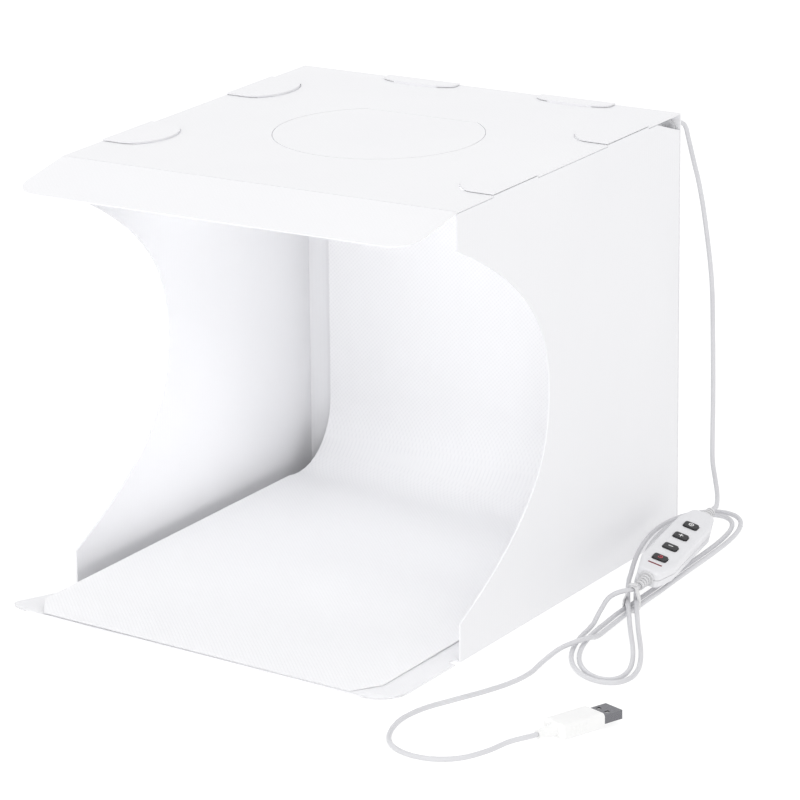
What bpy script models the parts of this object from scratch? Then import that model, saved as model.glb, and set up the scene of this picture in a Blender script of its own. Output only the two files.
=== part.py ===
"""Folding light tent cube: a die-cut white plastic box on its own hinges, with a ring light under
the roof, a backdrop sheet, and a lead with a hand controller and a USB plug.

Metres, +Z up. The origin is on the table, at the middle of the box and its front lip.
The open front faces -Y. Each object is one physical piece.
"""
import math

import bmesh
import bpy
from mathutils import Matrix, Vector

# The folded box
WIDTH = 0.230
DEPTH = 0.230
HEIGHT = 0.230
LIP = 0.066
SHEET = 0.0008
CLEAR = 0.0003
FOLD_ROUND = 0.00038
LIP_CORNER = 0.016
RELIEF_LENGTH = 0.005
RELIEF_DEPTH = 0.003
OVERRUN = 0.002
SAME_LENGTH = 0.00004
MERGE_LENGTH = 0.000008
SLIGHT_SHARE = 0.002

# The curved front edge of the side walls
BITE_DEPTH = 0.090
BITE_STUB = 0.020
BITE_POWER = 2.4
BITE_STEPS = 36

# The corner of the right wall that lets the lead out
CABLE_CLIP_LENGTH = 0.025
CABLE_CLIP_HEIGHT = 0.008

# Lock tabs on the top edges of the side walls
TAB_REACH = 0.027
TAB_LENGTH = 0.044
TAB_NOSE = 0.015
TAB_FROM_FRONT = 0.057
TAB_FROM_BACK = 0.057
TAB_LIP = 0.0030
TAB_DIP = 0.0005
SLIT_WIDTH = 0.010
SLIT_MARGIN = 0.0006
NOSE_STEPS = 14

# Visor
VISOR_LENGTH = 0.046
VISOR_CORNER = 0.014
VISOR_DROOP = math.radians(10)

# Round hatch in the roof, hinged at its rear chord
HATCH_BEHIND_MIDDLE = 0.002
HATCH_HALF_CHORD = 0.033
HATCH_GAP = 0.0004
HATCH_STEPS = 64

# Ring light under the roof
RING_TO_BACK = 0.027
RING_MARGIN = 0.0045
RING_WIDTH = 0.027
TRAY_HEIGHT = 0.0065
TRAY_WALL = 0.0012
BOARD_THICKNESS = 0.0010
DIFFUSER_THICKNESS = 0.0012
DIFFUSER_EDGE_SHARE = 0.125
RING_STEPS = 72
LED_COUNT = 36
LED_SIZE = 0.0035
LED_HEIGHT = 0.0012
LED_SINK = 0.0002

# Backdrop sheet
BACKDROP_WIDTH = 0.200
BACKDROP_THICKNESS = 0.0006
BACKDROP_TOP_GAP = 0.016
BACKDROP_FRONT_GAP = 0.0015
BACKDROP_SWEEP = 0.045
BACKDROP_LIFT = 0.0135
BACKDROP_CORNER = 0.010
BACKDROP_SWEEP_STEPS = 12
BACKDROP_RUN_STEPS = 16
BACKDROP_ACROSS = 10
PAD_RADIUS = 0.010
PAD_THICKNESS = 0.0012
PAD_SPREAD = 0.070
PAD_FROM_TOP = 0.030

# Cable outlet in the back panel
GROMMET_INSET = 0.0075
GROMMET_FROM_TOP = 0.0085
GROMMET_HOLE = 0.0032
GROMMET_FLANGE = 0.0050
GROMMET_FLANGE_THICKNESS = 0.0010
GROMMET_BOOT = 0.0085
GROMMET_BOOT_END = 0.0021
ROUND_STEPS = 20

# Cords
CORD_RADIUS = 0.0015
CORD_SPACING = 0.0085
INNER_EASE = 0.010
INNER_LEAVES_AT = math.radians(38)
CORD_REST = 0.0016

# Where the cord hangs, from the box's right rear corner: how far beside, behind and up
DROP_ROUTE = (
    (-0.0068, 0.0180, 0.2185), (-0.0055, 0.0195, 0.2110), (-0.0022, 0.0190, 0.2000),
    (0.0020, 0.0175, 0.1880), (0.0065, 0.0160, 0.1690), (0.0112, 0.0150, 0.1375),
    (0.0131, 0.0135, 0.1050), (0.0148, 0.0110, 0.0740), (0.0160, 0.0085, 0.0550),
    (0.0182, 0.0045, 0.0420), (0.0222, 0.0000, 0.0335), (0.0268, -0.0065, 0.0278),
)
DROP_ARRIVES = (0.0070, 0.0033)

# Where the cord runs along the table, from the hank's waist: how far right, back and up
TAIL_ROUTE = (
    (0.0067, -0.0500, 0.0022), (0.0074, -0.0572, 0.0043), (0.0065, -0.0640, 0.0052),
    (0.0034, -0.0800, 0.0053),
    (0.0023, -0.0960, 0.0033), (0.0027, -0.1100, 0.0017), (0.0012, -0.1260, CORD_REST),
    (-0.0040, -0.1430, CORD_REST), (-0.0115, -0.1610, CORD_REST), (-0.0180, -0.1780, CORD_REST),
    (-0.0197, -0.1960, CORD_REST), (-0.0150, -0.2140, CORD_REST), (-0.0065, -0.2265, CORD_REST),
    (0.0060, -0.2330, CORD_REST), (0.0195, -0.2325, CORD_REST), (0.0305, -0.2255, 0.0018),
    (0.0380, -0.2130, 0.0026), (0.0422, -0.2000, 0.0036),
)

# Figure-eight hank beside the box: its front lobe on the table, its rear lobe leaning up
HANK_BESIDE = 0.0366
HANK_FROM_BACK = 0.1197
HANK_HEADING = math.radians(102.9)
HANK_BOW = 0.0275
HANK_BOW_AT = 0.140
REAR_LOBE = 0.1085
FRONT_LOBE = 0.1070
REAR_SLOPE = 0.15
OPENING_SHARE = 0.272
REAR_FULLNESS_SHARE = 0.38
FRONT_FULLNESS_SHARE = 0.01
STRAND_PITCH = 0.0041
CROSSING_RISE = 0.0038
END_RUN = 0.0033
HANK_TURNS = 2
POINTS_PER_TURN = 48
CROSSING_FLAT = 0.017
CROSSING_RAMP = 0.020
LEAVE_AT = 0.036
LEAD_IN_POINTS = 5
LEAD_IN_TURNS = 0.03

# Tie round the waist of the hank
TIE_THICKNESS = 0.0007
TIE_LENGTH = 0.004
TIE_AHEAD = -0.0045
TIE_CORNER = 0.0015
TIE_LIFT_RAMP = 0.022
TIE_SLACK = 0.0012
TIE_HEADROOM = 0.0009

# Hand controller
CASE_LENGTH = 0.074
CASE_WIDTH = 0.019
CASE_HEIGHT = 0.0095
CASE_END_WIDTH = 0.0115
CASE_TAPER = 0.013
CASE_CORNER = 0.0035
CASE_WALL = 0.0012
CASE_EDGE = 0.0012
CASE_AHEAD = 0.0475
CASE_ASIDE = 0.0092
CASE_LIFT = 0.0140
CASE_TURN = math.radians(8.4)
CASE_PITCH = math.radians(7)
CASE_ROLL = math.radians(15)
BUTTON_LENGTH = 0.0052
BUTTON_WIDTH = 0.0078
BUTTON_CORNER = 0.0014
BUTTON_PITCH = 0.0135
BUTTON_PROUD = 0.0010
BUTTON_TRAVEL = 0.0006
BUTTON_FLANGE = 0.0006
BUTTON_FLANGE_REACH = 0.0008
BUTTON_SHIFT = -0.002
CIRCUIT_THICKNESS = 0.0010
CIRCUIT_HEIGHT = 0.0032
SWITCH_SIZE = 0.0040
SWITCH_HEIGHT = 0.0023
BOSS_RADIUS = 0.0011

# Ribbed strain reliefs of the controller
RELIEF_OUT = 0.011
RELIEF_IN = 0.0028
RELIEF_BASE = 0.0034
RELIEF_TIP = 0.0023
RELIEF_COLLAR = 0.0040
RIB_COUNT = 4
RIB_GROOVE = 0.0006

# USB plug
PLUG_LENGTH = 0.026
PLUG_WIDTH = 0.0155
PLUG_HEIGHT = 0.0080
PLUG_CORNER = 0.0020
PLUG_NECK = 0.010
PLUG_NECK_BASE = 0.0034
PLUG_NECK_TIP = 0.0023
PLUG_SOCKET = 0.0040
SHELL_WIDTH = 0.0120
SHELL_HEIGHT = 0.0045
SHELL_LENGTH = 0.0120
SHELL_WALL = 0.0004
SHELL_WINDOW = 0.0022
WINDOW_PLACE_SHARE = 0.42
TONGUE_HEIGHT = 0.0018
TONGUE_SHORTFALL = 0.0012
PLUG_BESIDE = 0.0862
PLUG_FROM_BACK = 0.306
PLUG_HEADING = math.radians(69.7)

FRONT = LIP - (DEPTH + LIP) / 2
BACK = FRONT + DEPTH
LIP_FRONT = FRONT - LIP
SIDE = WIDTH / 2
INNER_SIDE = SIDE - SHEET - CLEAR
INNER_BACK = BACK - SHEET - CLEAR
ROOF_UNDER = HEIGHT - SHEET
WALL_TOP = ROOF_UNDER - CLEAR
FOLD = SHEET / 2
TAB_MIDDLES = {"front": FRONT + TAB_FROM_FRONT, "rear": BACK - TAB_FROM_BACK}
TAB_LEVEL = HEIGHT + CLEAR
HATCH_MIDDLE = FRONT + DEPTH / 2 + HATCH_BEHIND_MIDDLE
RING_OUTER = BACK - HATCH_MIDDLE - RING_TO_BACK
RING_INNER = RING_OUTER - RING_WIDTH
HATCH_RADIUS = RING_INNER - RING_MARGIN
HATCH_HINGE = HATCH_MIDDLE + math.sqrt(HATCH_RADIUS**2 - HATCH_HALF_CHORD**2)
TRAY_TOP = ROOF_UNDER - CLEAR
BACKDROP_REAR = BACK - SHEET - 2 * CLEAR - PAD_THICKNESS
CASE_AXIS = CASE_HEIGHT / 2
GROMMET_X = SIDE - GROMMET_INSET
GROMMET_Z = HEIGHT - GROMMET_FROM_TOP
CASE_SPLIT = CASE_HEIGHT / 2
HANK_PLACE = (SIDE + HANK_BESIDE, BACK - HANK_FROM_BACK)

PLANES = {
    "XY": lambda u, v, w: Vector((u, v, w)),
    "YZ": lambda u, v, w: Vector((w, u, v)),
    "XZ": lambda u, v, w: Vector((u, w, v)),
}


def plastic(name, colour, roughness, metallic=0.0, alpha=1.0):
    """A Principled material, made once for each name."""
    found = bpy.data.materials.get(name)
    if found:
        return found
    made = bpy.data.materials.new(name)
    made.use_nodes = True
    shader = made.node_tree.nodes["Principled BSDF"]
    shader.inputs["Base Color"].default_value = (*colour, 1.0)
    shader.inputs["Roughness"].default_value = roughness
    shader.inputs["Metallic"].default_value = metallic
    shader.inputs["Alpha"].default_value = alpha
    return made


def panel_plastic():
    return plastic("panel_plastic", (0.90, 0.90, 0.91), 0.45)


def backdrop_plastic():
    return plastic("backdrop_plastic", (0.92, 0.92, 0.93), 0.55)


def case_plastic():
    return plastic("case_plastic", (0.86, 0.86, 0.87), 0.35)


def button_rubber():
    return plastic("button_rubber", (0.03, 0.03, 0.035), 0.45)


def cord_rubber():
    return plastic("cord_rubber", (0.85, 0.85, 0.86), 0.5)


def diffuser_plastic():
    return plastic("diffuser_plastic", (0.95, 0.95, 0.93), 0.3)


def circuit_board():
    return plastic("circuit_board", (0.75, 0.76, 0.74), 0.5)


def plug_metal():
    return plastic("plug_metal", (0.75, 0.75, 0.76), 0.25, metallic=1.0)


def loop_tape():
    return plastic("loop_tape", (0.88, 0.88, 0.88), 0.9)


def add_object(name, data, material, place=None):
    """Puts a mesh or curve in the scene; place is where its origin goes."""
    thing = bpy.data.objects.new(name, data)
    bpy.context.scene.collection.objects.link(thing)
    thing.data.materials.append(material)
    if place is not None:
        thing.matrix_world = place
    return thing


def add_piece(name, bm, material, origin=(0, 0, 0), place=None, smooth=None):
    """Makes a mesh object whose origin is at the given point of its own geometry."""
    bmesh.ops.translate(bm, verts=bm.verts, vec=-Vector(origin))
    bmesh.ops.recalc_face_normals(bm, faces=bm.faces)
    mesh = bpy.data.meshes.new(name)
    bm.to_mesh(mesh)
    bm.free()
    if smooth is not None:
        mesh.shade_smooth()
        mesh.set_sharp_from_angle(angle=smooth)
    frame = Matrix.Translation(origin) if place is None else place @ Matrix.Translation(origin)
    return add_object(name, mesh, material, frame)


def add_cutter(name, bm, place=None):
    cutter = add_piece(name, bm, panel_plastic(), place=place)
    cutter.hide_render = True
    cutter.display_type = "WIRE"
    return cutter


def combine(piece, other, operation="DIFFERENCE"):
    change = piece.modifiers.new(other.name, "BOOLEAN")
    change.object = other
    change.operation = operation
    change.solver = "EXACT"


def prism(outline, low, high, plane="XY", into=None):
    """Extrudes a closed outline between two levels of the plane's normal."""
    bm = into or bmesh.new()
    place = PLANES[plane]
    verts = [bm.verts.new(place(u, v, low)) for u, v in outline]
    face = bm.faces.new(verts)
    grown = bmesh.ops.extrude_face_region(bm, geom=[face])["geom"]
    moved = [item for item in grown if isinstance(item, bmesh.types.BMVert)]
    bmesh.ops.translate(bm, verts=moved, vec=place(0, 0, high - low))
    bmesh.ops.recalc_face_normals(bm, faces=bm.faces)
    return bm


def turned(profile, steps, axis="Z", centre=(0, 0, 0), closed=False, into=None):
    """Spins a profile of (radius, height) pairs round an axis through the centre."""
    bm = into or bmesh.new()
    turn = {"Z": Matrix.Identity(3), "X": Matrix.Rotation(math.pi / 2, 3, "Y"),
            "Y": Matrix.Rotation(-math.pi / 2, 3, "X")}[axis]
    centre = Vector(centre)
    verts = [bm.verts.new(centre + turn @ Vector((r, 0, h))) for r, h in profile]
    pairs = list(zip(verts, verts[1:]))
    if closed:
        pairs.append((verts[-1], verts[0]))
    edges = [bm.edges.new(pair) for pair in pairs]
    bmesh.ops.spin(bm, geom=verts + edges, cent=centre, axis=turn @ Vector((0, 0, 1)),
                   angle=2 * math.pi, steps=steps, use_merge=True)
    bmesh.ops.remove_doubles(bm, verts=bm.verts, dist=MERGE_LENGTH)
    bmesh.ops.recalc_face_normals(bm, faces=bm.faces)
    return bm


def soften(bm, chosen, width, segments=2):
    """Rounds the edges that the test picks."""
    edges = [edge for edge in bm.edges if chosen(edge)]
    bmesh.ops.bevel(bm, geom=edges, offset=width, segments=segments, profile=0.5,
                    affect="EDGES", clamp_overlap=True)


def near(value, target):
    return abs(value - target) < SAME_LENGTH


def along_line(index, level_index, level, span=None):
    """Picks edges that run along one axis at one level of another."""
    def test(edge):
        first, second = (vert.co for vert in edge.verts)
        if abs((first - second).normalized()[index]) < 1 - SLIGHT_SHARE:
            return False
        if not (near(first[level_index], level) and near(second[level_index], level)):
            return False
        return span is None or (first - second).length > span
    return test


def rounded(corners, radius, steps=5):
    """Replaces each corner of a closed outline by an arc of the given radius, or its own."""
    points = []
    count = len(corners)
    for index, corner in enumerate(corners):
        here = Vector(corner[:2])
        size = corner[2] if len(corner) > 2 else radius
        before = (Vector(corners[index - 1][:2]) - here).normalized()
        after = (Vector(corners[(index + 1) % count][:2]) - here).normalized()
        if size <= 0 or abs(before.cross(after)) < SLIGHT_SHARE:
            points.append(tuple(here))
            continue
        half = before.angle(after) / 2
        reach = size / math.tan(half)
        centre = here + (before + after).normalized() * (size / math.sin(half))
        start = here + before * reach - centre
        end = here + after * reach - centre
        sweep = math.atan2(start.cross(end), start.dot(end))
        for step in range(steps + 1):
            spoke = Matrix.Rotation(sweep * step / steps, 2) @ start
            points.append(tuple(centre + spoke))
    return points


def mirrored(half):
    """Closes an outline given for x above zero, first point to last, with its mirror image."""
    return half + [(-x, y) for x, y in reversed(half)]


def floor_panel():
    lip_corner = rounded([(0, BACK), (SIDE, BACK), (SIDE, LIP_FRONT, LIP_CORNER), (0, LIP_FRONT)], 0, 8)
    arc = [point for point in lip_corner if point[1] < FRONT and point[0] > 0]
    half = [
        (INNER_SIDE, INNER_BACK),
        (INNER_SIDE, FRONT),
        (INNER_SIDE - RELIEF_DEPTH, FRONT),
        (INNER_SIDE - RELIEF_DEPTH, FRONT - RELIEF_LENGTH),
        (SIDE, FRONT - RELIEF_LENGTH),
    ] + arc
    return add_piece("floor_panel", prism(mirrored(half), 0, SHEET), panel_plastic())


def back_panel():
    outline = [(-SIDE, 0), (SIDE, 0), (SIDE, WALL_TOP), (-SIDE, WALL_TOP)]
    bm = prism(outline, BACK - SHEET, BACK, "XZ")
    soften(bm, along_line(0, 2, 0), FOLD_ROUND)
    panel = add_piece("back_panel", bm, panel_plastic(), (0, BACK - FOLD, FOLD))
    hole = turned([(0, -OVERRUN), (GROMMET_HOLE + CLEAR, -OVERRUN), (GROMMET_HOLE + CLEAR, OVERRUN + SHEET),
                   (0, OVERRUN + SHEET)], ROUND_STEPS, "Y", (GROMMET_X, BACK - SHEET, GROMMET_Z))
    combine(panel, add_cutter("cut_cable_outlet", hole))
    return panel


def bite(step):
    """A point of the curved front edge, from the top of the curve down."""
    share = 1 - 2 * step / BITE_STEPS
    return (FRONT + BITE_DEPTH * (1 - abs(share) ** BITE_POWER), HEIGHT / 2 + share * (HEIGHT / 2 - BITE_STUB))


def side_wall(name, side, clipped):
    rear = INNER_BACK
    outline = [(FRONT, 0), (rear, 0)]
    if clipped:
        outline += [(rear, WALL_TOP - CABLE_CLIP_HEIGHT), (rear - CABLE_CLIP_LENGTH, WALL_TOP)]
    else:
        outline += [(rear, WALL_TOP)]
    for middle in (TAB_MIDDLES["rear"], TAB_MIDDLES["front"]):
        half = TAB_LENGTH / 2
        outline += [(middle + half, WALL_TOP), (middle + half, HEIGHT),
                    (middle - half, HEIGHT), (middle - half, WALL_TOP)]
    outline.append((FRONT, WALL_TOP))
    outline += [bite(step) for step in range(BITE_STEPS + 1)]
    low, high = sorted((side * SIDE, side * (SIDE - SHEET)))
    bm = prism(outline, low, high, "YZ")
    soften(bm, along_line(1, 2, 0, DEPTH / 2), FOLD_ROUND)
    return add_piece(name, bm, panel_plastic(), (side * (SIDE - FOLD), 0, FOLD))


def tab_outline(side, middle, grow=0.0, reach=None):
    """The tab seen from above: a straight root at the fold and a rounded nose inboard."""
    tip = SIDE - TAB_REACH - grow
    nose = TAB_NOSE + grow
    half = TAB_LENGTH / 2 + grow
    limit = SIDE if reach is None else tip + reach
    turn = math.pi / 2 if reach is None else math.acos(1 - reach / nose)
    points = []
    for step in range(-NOSE_STEPS, NOSE_STEPS + 1):
        angle = turn * step / NOSE_STEPS
        points.append((side * (tip + nose * (1 - math.cos(angle))), middle + half * math.sin(angle)))
    if reach is None:
        points += [(side * limit, middle + half), (side * limit, middle - half)]
    return points


def lock_tab(name, side, middle):
    bm = prism(tab_outline(side, middle), TAB_LEVEL, TAB_LEVEL + SHEET)
    soften(bm, along_line(1, 0, side * SIDE), FOLD_ROUND)
    tab = add_piece(name, bm, panel_plastic(), (side * (SIDE - FOLD), middle, TAB_LEVEL + FOLD))
    lip = prism(tab_outline(side, middle, 0, TAB_LIP), HEIGHT - TAB_DIP, TAB_LEVEL + FOLD)
    combine(tab, add_cutter(name + "_lip", lip), "UNION")
    return tab


def hatch_arc(radius, hinge):
    """The round part of the hatch, from the right end of its hinge line round the front to the left."""
    start = math.asin((hinge - HATCH_MIDDLE) / radius)
    points = []
    for step in range(HATCH_STEPS + 1):
        angle = start - (math.pi + 2 * start) * step / HATCH_STEPS
        points.append((radius * math.cos(angle), HATCH_MIDDLE + radius * math.sin(angle)))
    return points


def roof_panel():
    notch = SIDE - SHEET - 2 * CLEAR
    half = [(SIDE, BACK)]
    for middle in (TAB_MIDDLES["rear"], TAB_MIDDLES["front"]):
        rear_end = middle + TAB_LENGTH / 2 + CLEAR
        front_end = middle - TAB_LENGTH / 2 - CLEAR
        half += [(SIDE, rear_end), (notch, rear_end), (notch, front_end), (SIDE, front_end)]
    half.append((SIDE, FRONT))
    bm = prism(mirrored(half), ROOF_UNDER, HEIGHT)
    soften(bm, along_line(0, 1, BACK), FOLD_ROUND)
    roof = add_piece("roof_panel", bm, panel_plastic(), (0, BACK - FOLD, HEIGHT - FOLD))
    holes = prism(hatch_arc(HATCH_RADIUS + HATCH_GAP, HATCH_HINGE + HATCH_GAP), ROOF_UNDER - OVERRUN,
                  HEIGHT + OVERRUN)
    for side in (-1, 1):
        for middle in TAB_MIDDLES.values():
            slit = tab_outline(side, middle, SLIT_MARGIN, SLIT_WIDTH)
            prism(slit, ROOF_UNDER - OVERRUN, HEIGHT + OVERRUN, into=holes)
    combine(roof, add_cutter("cut_roof", holes))
    return roof


def hatch_flap():
    bm = prism(hatch_arc(HATCH_RADIUS, HATCH_HINGE), ROOF_UNDER, HEIGHT)
    soften(bm, along_line(0, 1, HATCH_HINGE, HATCH_HALF_CHORD), FOLD_ROUND)
    return add_piece("hatch_flap", bm, panel_plastic(), (0, HATCH_HINGE + HATCH_GAP / 2, HEIGHT))


def visor_panel():
    """The strip in front of the roof, drooping from its crease."""
    half = SIDE - CLEAR
    corners = [(-half, 0, 0), (-half, -VISOR_LENGTH), (half, -VISOR_LENGTH), (half, 0, 0)]
    bm = prism(rounded(corners, VISOR_CORNER, 7), -FOLD, FOLD)
    soften(bm, along_line(0, 1, 0, SIDE), FOLD_ROUND)
    bmesh.ops.translate(bm, verts=bm.verts, vec=(0, FOLD, 0))
    place = Matrix.Translation((0, FRONT - CLEAR - FOLD, HEIGHT - FOLD)) @ Matrix.Rotation(VISOR_DROOP, 4, "X")
    return add_piece("visor_panel", bm, panel_plastic(), place=place)


def ring(profile, name, material):
    bm = turned(profile, RING_STEPS, centre=(0, HATCH_MIDDLE, 0), closed=True)
    return add_piece(name, bm, material, smooth=math.radians(30))


def led_tray():
    """A channel that opens downwards, with a ledge that the board rests against."""
    bottom = TRAY_TOP - TRAY_HEIGHT
    profile = [
        (RING_INNER, TRAY_TOP), (RING_OUTER, TRAY_TOP), (RING_OUTER, bottom),
        (RING_OUTER - TRAY_WALL, bottom), (RING_OUTER - TRAY_WALL, TRAY_TOP - TRAY_WALL),
        (RING_INNER + TRAY_WALL, TRAY_TOP - TRAY_WALL), (RING_INNER + TRAY_WALL, bottom),
        (RING_INNER, bottom),
    ]
    return ring(profile, "led_tray", case_plastic())


def led_board():
    """The ring board with its chips facing down."""
    high = TRAY_TOP - TRAY_WALL - CLEAR
    low = high - BOARD_THICKNESS
    inner = RING_INNER + TRAY_WALL + CLEAR
    outer = RING_OUTER - TRAY_WALL - CLEAR
    board = ring([(inner, high), (outer, high), (outer, low), (inner, low)], "led_board", circuit_board())
    chips = bmesh.new()
    half = LED_SIZE / 2
    square = [(-half, -half), (half, -half), (half, half), (-half, half)]
    for index in range(LED_COUNT):
        turn = Matrix.Rotation(2 * math.pi * index / LED_COUNT, 2)
        outline = []
        for x, y in square:
            spot = turn @ Vector(((inner + outer) / 2 + x, y))
            outline.append((spot.x, spot.y + HATCH_MIDDLE))
        prism(outline, low - LED_HEIGHT, low + LED_SINK, into=chips)
    combine(board, add_cutter("led_chips", chips), "UNION")
    return board


def led_diffuser():
    """The frosted cover that closes the tray from below."""
    low = TRAY_TOP - TRAY_HEIGHT
    inner = RING_INNER + TRAY_WALL + CLEAR
    outer = RING_OUTER - TRAY_WALL - CLEAR
    high = low + DIFFUSER_THICKNESS
    dome = low - DIFFUSER_THICKNESS / 2
    edge = (outer - inner) * DIFFUSER_EDGE_SHARE
    profile = [(inner, high), (outer, high), (outer, low), (outer - edge, dome), (inner + edge, dome), (inner, low)]
    return ring(profile, "led_diffuser", diffuser_plastic())


def backdrop_line():
    """The sheet's mid line from its top edge, down the back, round the sweep and out to the lip."""
    rear = BACKDROP_REAR - BACKDROP_THICKNESS / 2
    floor = SHEET + CLEAR + BACKDROP_THICKNESS / 2
    top = WALL_TOP - BACKDROP_TOP_GAP
    front = LIP_FRONT + BACKDROP_FRONT_GAP
    points = [(rear, top), (rear, (top + floor + BACKDROP_SWEEP) / 2)]
    for step in range(BACKDROP_SWEEP_STEPS + 1):
        angle = math.pi / 2 * step / BACKDROP_SWEEP_STEPS
        points.append((rear - BACKDROP_SWEEP * (1 - math.cos(angle)),
                       floor + BACKDROP_SWEEP * (1 - math.sin(angle))))
    run = points[-1][0] - front
    for step in range(1, BACKDROP_RUN_STEPS + 1):
        points.append((points[BACKDROP_SWEEP_STEPS + 2][0] - run * step / BACKDROP_RUN_STEPS, floor))
    return points


def backdrop():
    """A springy sheet: flat at the right, standing off the floor a little at the left."""
    line = backdrop_line()
    half = BACKDROP_WIDTH / 2
    front = line[-1][0]
    bm = bmesh.new()
    rows = []
    for y, z in line:
        inset = BACKDROP_CORNER - math.sqrt(
            max(0.0, BACKDROP_CORNER**2 - max(0.0, front + BACKDROP_CORNER - y) ** 2))
        rest = min(1.0, max(0.0, (BACKDROP_REAR - y) / BACKDROP_SWEEP))
        row = []
        for step in range(BACKDROP_ACROSS + 1):
            share = step / BACKDROP_ACROSS
            x = -half + inset + (BACKDROP_WIDTH - 2 * inset) * share
            row.append(bm.verts.new((x, y, z + BACKDROP_LIFT * rest * (half - x) / BACKDROP_WIDTH)))
        rows.append(row)
    for upper, lower in zip(rows, rows[1:]):
        for step in range(BACKDROP_ACROSS):
            bm.faces.new((upper[step], upper[step + 1], lower[step + 1], lower[step]))
    sheet = add_piece("backdrop", bm, backdrop_plastic(), smooth=math.radians(40))
    thicken = sheet.modifiers.new("thickness", "SOLIDIFY")
    thicken.thickness = BACKDROP_THICKNESS
    thicken.offset = 0
    return sheet


def backdrop_pad(name, side):
    """A round fastener pad between the back panel and the sheet."""
    rear = BACK - SHEET - CLEAR
    profile = [(0, 0), (PAD_RADIUS, 0), (PAD_RADIUS, PAD_THICKNESS), (0, PAD_THICKNESS)]
    centre = (side * PAD_SPREAD, rear - PAD_THICKNESS, WALL_TOP - PAD_FROM_TOP)
    return add_piece(name, turned(profile, ROUND_STEPS, "Y", centre), loop_tape(), smooth=math.radians(30))


def cable_grommet():
    """A rubber bush through the back panel, with a flange on each face and a tapered boot."""
    inside = -GROMMET_FLANGE_THICKNESS - CLEAR
    outside = SHEET + CLEAR
    profile = [
        (0, inside), (GROMMET_FLANGE, inside), (GROMMET_FLANGE, -CLEAR), (GROMMET_HOLE, -CLEAR),
        (GROMMET_HOLE, outside), (GROMMET_FLANGE, outside),
        (GROMMET_FLANGE, outside + GROMMET_FLANGE_THICKNESS),
        (GROMMET_HOLE, outside + GROMMET_FLANGE_THICKNESS),
        (GROMMET_BOOT_END, outside + GROMMET_BOOT), (0, outside + GROMMET_BOOT),
    ]
    bm = turned(profile, ROUND_STEPS, "Y", (GROMMET_X, BACK - SHEET, GROMMET_Z))
    return add_piece("cable_grommet", bm, cord_rubber(), smooth=math.radians(30))


def smooth_route(points, spacing):
    """Reads points a set distance apart from a smooth curve through the route's points."""
    knots = [Vector(point) for point in points]
    knots = [2 * knots[0] - knots[1]] + knots + [2 * knots[-1] - knots[-2]]
    fine = []
    for before, start, end, after in zip(knots, knots[1:], knots[2:], knots[3:]):
        for step in range(24):
            t = step / 24
            fine.append(0.5 * (2 * start + (end - before) * t
                               + (2 * before - 5 * start + 4 * end - after) * t**2
                               + (3 * start - before - 3 * end + after) * t**3))
    fine.append(knots[-2])
    return evenly(fine, spacing)


def length_of(points):
    return sum((second - first).length for first, second in zip(points, points[1:]))


def evenly(points, spacing):
    """Points at equal steps along a fine line, ends kept."""
    total = length_of(points)
    count = max(2, round(total / spacing))
    chosen = [points[0]]
    travelled = 0.0
    wanted = total / count
    for first, second in zip(points, points[1:]):
        stretch = (second - first).length
        while travelled + stretch >= wanted and len(chosen) < count:
            chosen.append(first.lerp(second, (wanted - travelled) / stretch))
            wanted = total * len(chosen) / count
        travelled += stretch
    chosen.append(points[-1])
    return chosen


def cord(name, points, radius, resolution, material):
    """A tube along the points, with closed ends."""
    curve = bpy.data.curves.new(name, "CURVE")
    curve.dimensions = "3D"
    spline = curve.splines.new("POLY")
    spline.points.add(len(points) - 1)
    for slot, point in zip(spline.points, points):
        slot.co = (*point, 1)
    spline.use_smooth = True
    curve.bevel_depth = radius
    curve.bevel_resolution = resolution
    curve.use_fill_caps = True
    return add_object(name, curve, material)


def cord_inner():
    """The stretch inside the box, from the light's tray to the cable outlet."""
    level = TRAY_TOP - TRAY_HEIGHT / 2
    inside = BACK - SHEET - CLEAR - GROMMET_FLANGE_THICKNESS - CLEAR
    heading = INNER_LEAVES_AT
    edge = Vector((RING_OUTER * math.sin(heading), HATCH_MIDDLE + RING_OUTER * math.cos(heading), level))
    outward = Vector((math.sin(heading), math.cos(heading), 0))
    start = edge + outward * CLEAR
    end = Vector((GROMMET_X, inside, GROMMET_Z))
    leaves = start + outward * INNER_EASE
    arrives = end - Vector((0, 2 * INNER_EASE, 0))
    route = [start, leaves, leaves.lerp(arrives, 1 / 3), leaves.lerp(arrives, 2 / 3), arrives,
             end - Vector((0, INNER_EASE, 0)), end]
    return cord("cord_inner", smooth_route(route, CORD_SPACING / 2), CORD_RADIUS, 2, cord_rubber())


def hank_axes():
    ahead = Vector((math.cos(HANK_HEADING), math.sin(HANK_HEADING), 0))
    aside = Vector((ahead.y, -ahead.x, 0))
    return ahead, aside


def on_hank(aside_by, ahead_by, height):
    """Turns the hank's own coordinates, bowed towards both ends and rising rearwards, into a place."""
    ahead, aside = hank_axes()
    bow = HANK_BOW * (ahead_by / HANK_BOW_AT) ** 2
    rise = REAR_SLOPE * max(0.0, ahead_by)
    return Vector((*HANK_PLACE, height + rise)) + ahead * ahead_by + aside * (aside_by + bow)


def table_level(ahead_by):
    """Height of a strand that lies on the table, lifted where the tie passes under it."""
    lift = TIE_THICKNESS + CLEAR
    share = min(1.0, max(0.0, (abs(ahead_by - TIE_AHEAD) - TIE_LENGTH) / TIE_LIFT_RAMP))
    return CORD_REST + lift * (1 + math.cos(math.pi * share)) / 2


def crossing_level(ahead_by):
    """Extra height of the strands that pass over the others at the waist."""
    share = min(1.0, max(0.0, (abs(ahead_by) - CROSSING_FLAT) / CROSSING_RAMP))
    return CROSSING_RISE * (1 + math.cos(math.pi * share)) / 2


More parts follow.
